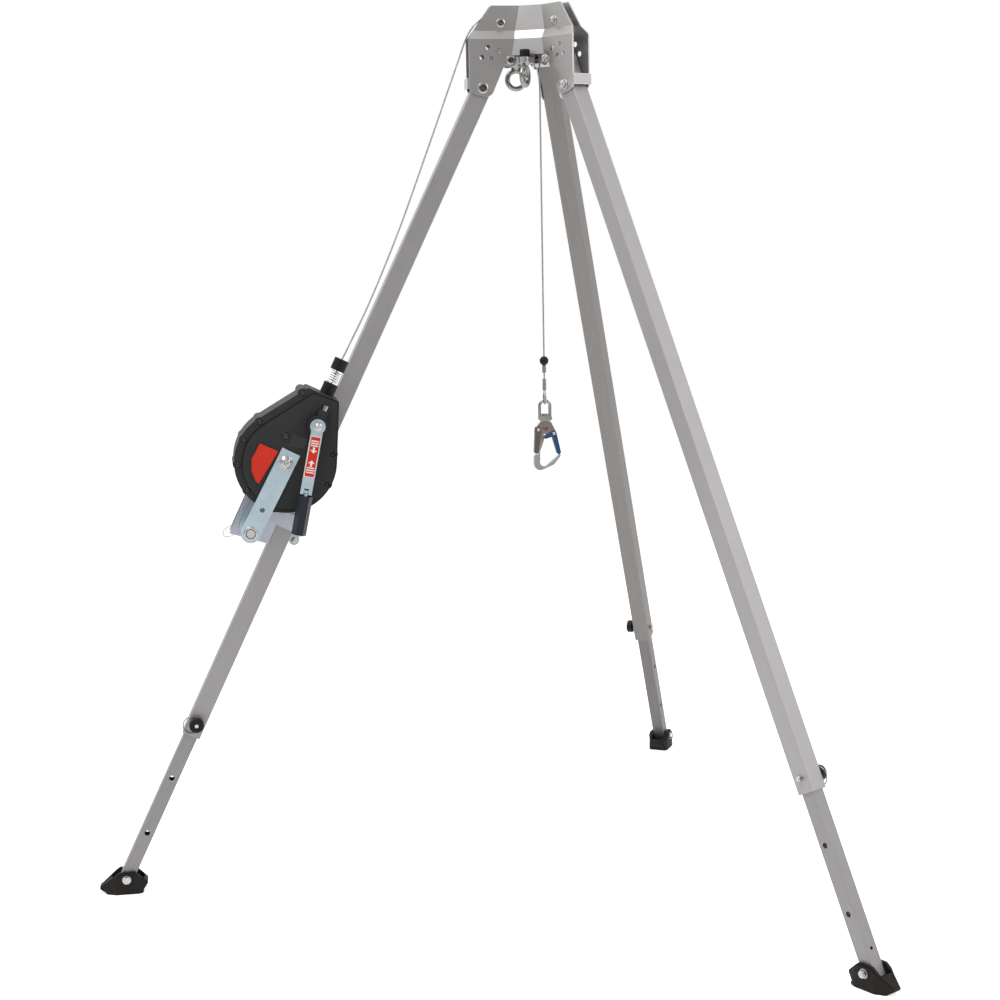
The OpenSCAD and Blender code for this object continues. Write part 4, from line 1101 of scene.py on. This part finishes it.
# Pale floor and soft studio light: key from the upper left, fill from the right, all large and soft
studio = {
    "floor": 40.0,
    "floorTone": 0.9,
    "floorRough": 0.9,
    "floorGloss": 0.1,
    "floorGlow": 0.63,
    "world": 0.42,
    "mirrored": 0.8,  # what metal sees at eye level
    "mirroredRise": 0.25,  # brighter towards the top
    "mirroredSide": -0.06,  # and towards the left
    "mirroredDepth": 0.42,  # darker on the side that faces the object's front
    "lamps": {
        "keyLamp": {"place": (-2.6, -2.0, 6.2), "aim": (0.2, 0.0, 1.5), "size": 3.4, "power": 210.0},
        "fillLamp": {"place": (5.0, -3.5, 4.0), "aim": (0.5, 0.0, 1.3), "size": 3.6, "power": 130.0},
        "topLamp": {"place": (0.5, 1.5, 5.2), "aim": (0.3, 0.0, 1.5), "size": 3.0, "power": 40.0},
    },
}


def addFloor():
    half = studio["floor"] / 2
    corners = [(-half, -half, 0), (half, -half, 0), (half, half, 0), (-half, half, 0)]
    floor = addPiece("studioFloor", corners, [(0, 1, 2, 3)], smooth=False)
    mat = bpy.data.materials.new("paleFloor")
    mat.use_nodes = True
    tree = mat.node_tree
    bsdf = tree.nodes["Principled BSDF"]
    bsdf.inputs["Base Color"].default_value = (studio["floorTone"],) * 3 + (1,)
    bsdf.inputs["Roughness"].default_value = studio["floorRough"]
    bsdf.inputs["Specular IOR Level"].default_value = studio["floorGloss"]
    glow = tree.nodes.new("ShaderNodeEmission")
    path = tree.nodes.new("ShaderNodeLightPath")
    seen = addMath(tree, "MAXIMUM", path.outputs["Is Camera Ray"], path.outputs["Is Glossy Ray"])
    seen = addMath(tree, "MAXIMUM", seen, path.outputs["Is Transmission Ray"])
    tree.links.new(addMath(tree, "MULTIPLY", seen, studio["floorGlow"]), glow.inputs["Strength"])
    both = tree.nodes.new("ShaderNodeAddShader")
    tree.links.new(bsdf.outputs[0], both.inputs[0])
    tree.links.new(glow.outputs[0], both.inputs[1])
    tree.links.new(both.outputs[0], tree.nodes["Material Output"].inputs["Surface"])
    floor.data.materials.append(mat)


def addWorld():
    world = bpy.data.worlds.new("softStudio")
    bpy.context.scene.world = world
    world.use_nodes = True
    tree = world.node_tree
    sky = tree.nodes["Background"]
    sky.inputs["Color"].default_value = (1, 1, 1, 1)
    path = tree.nodes.new("ShaderNodeLightPath")
    seen = addMath(tree, "MAXIMUM", path.outputs["Is Camera Ray"], path.outputs["Is Transmission Ray"])
    lift = addMath(tree, "MULTIPLY_ADD", seen, 1.0 - studio["world"], studio["world"])
    # metal mirrors a pale room that is brighter above and to the left
    split = tree.nodes.new("ShaderNodeSeparateXYZ")
    tree.links.new(tree.nodes.new("ShaderNodeTexCoord").outputs["Generated"], split.inputs[0])
    room = addMath(tree, "MULTIPLY_ADD", split.outputs["Z"], studio["mirroredRise"], studio["mirrored"])
    room = addMath(tree, "MULTIPLY_ADD", split.outputs["X"], studio["mirroredSide"], room)
    room = addMath(tree, "MULTIPLY_ADD", split.outputs["Y"], studio["mirroredDepth"], room)
    mirror = addMath(tree, "MULTIPLY", path.outputs["Is Glossy Ray"], addMath(tree, "SUBTRACT", room, lift))
    tree.links.new(addMath(tree, "ADD", lift, mirror), sky.inputs["Strength"])


def addLamps():
    for name, lamp in studio["lamps"].items():
        light = bpy.data.lights.new(name, "AREA")
        light.size = lamp["size"]
        light.energy = lamp["power"]
        obj = linkNew(name, light)
        obj.location = lamp["place"]
        way = Vector(lamp["aim"]) - Vector(lamp["place"])
        obj.rotation_euler = way.to_track_quat("-Z", "Y").to_euler()


addFloor()
addWorld()
addLamps()
print("studio lit")
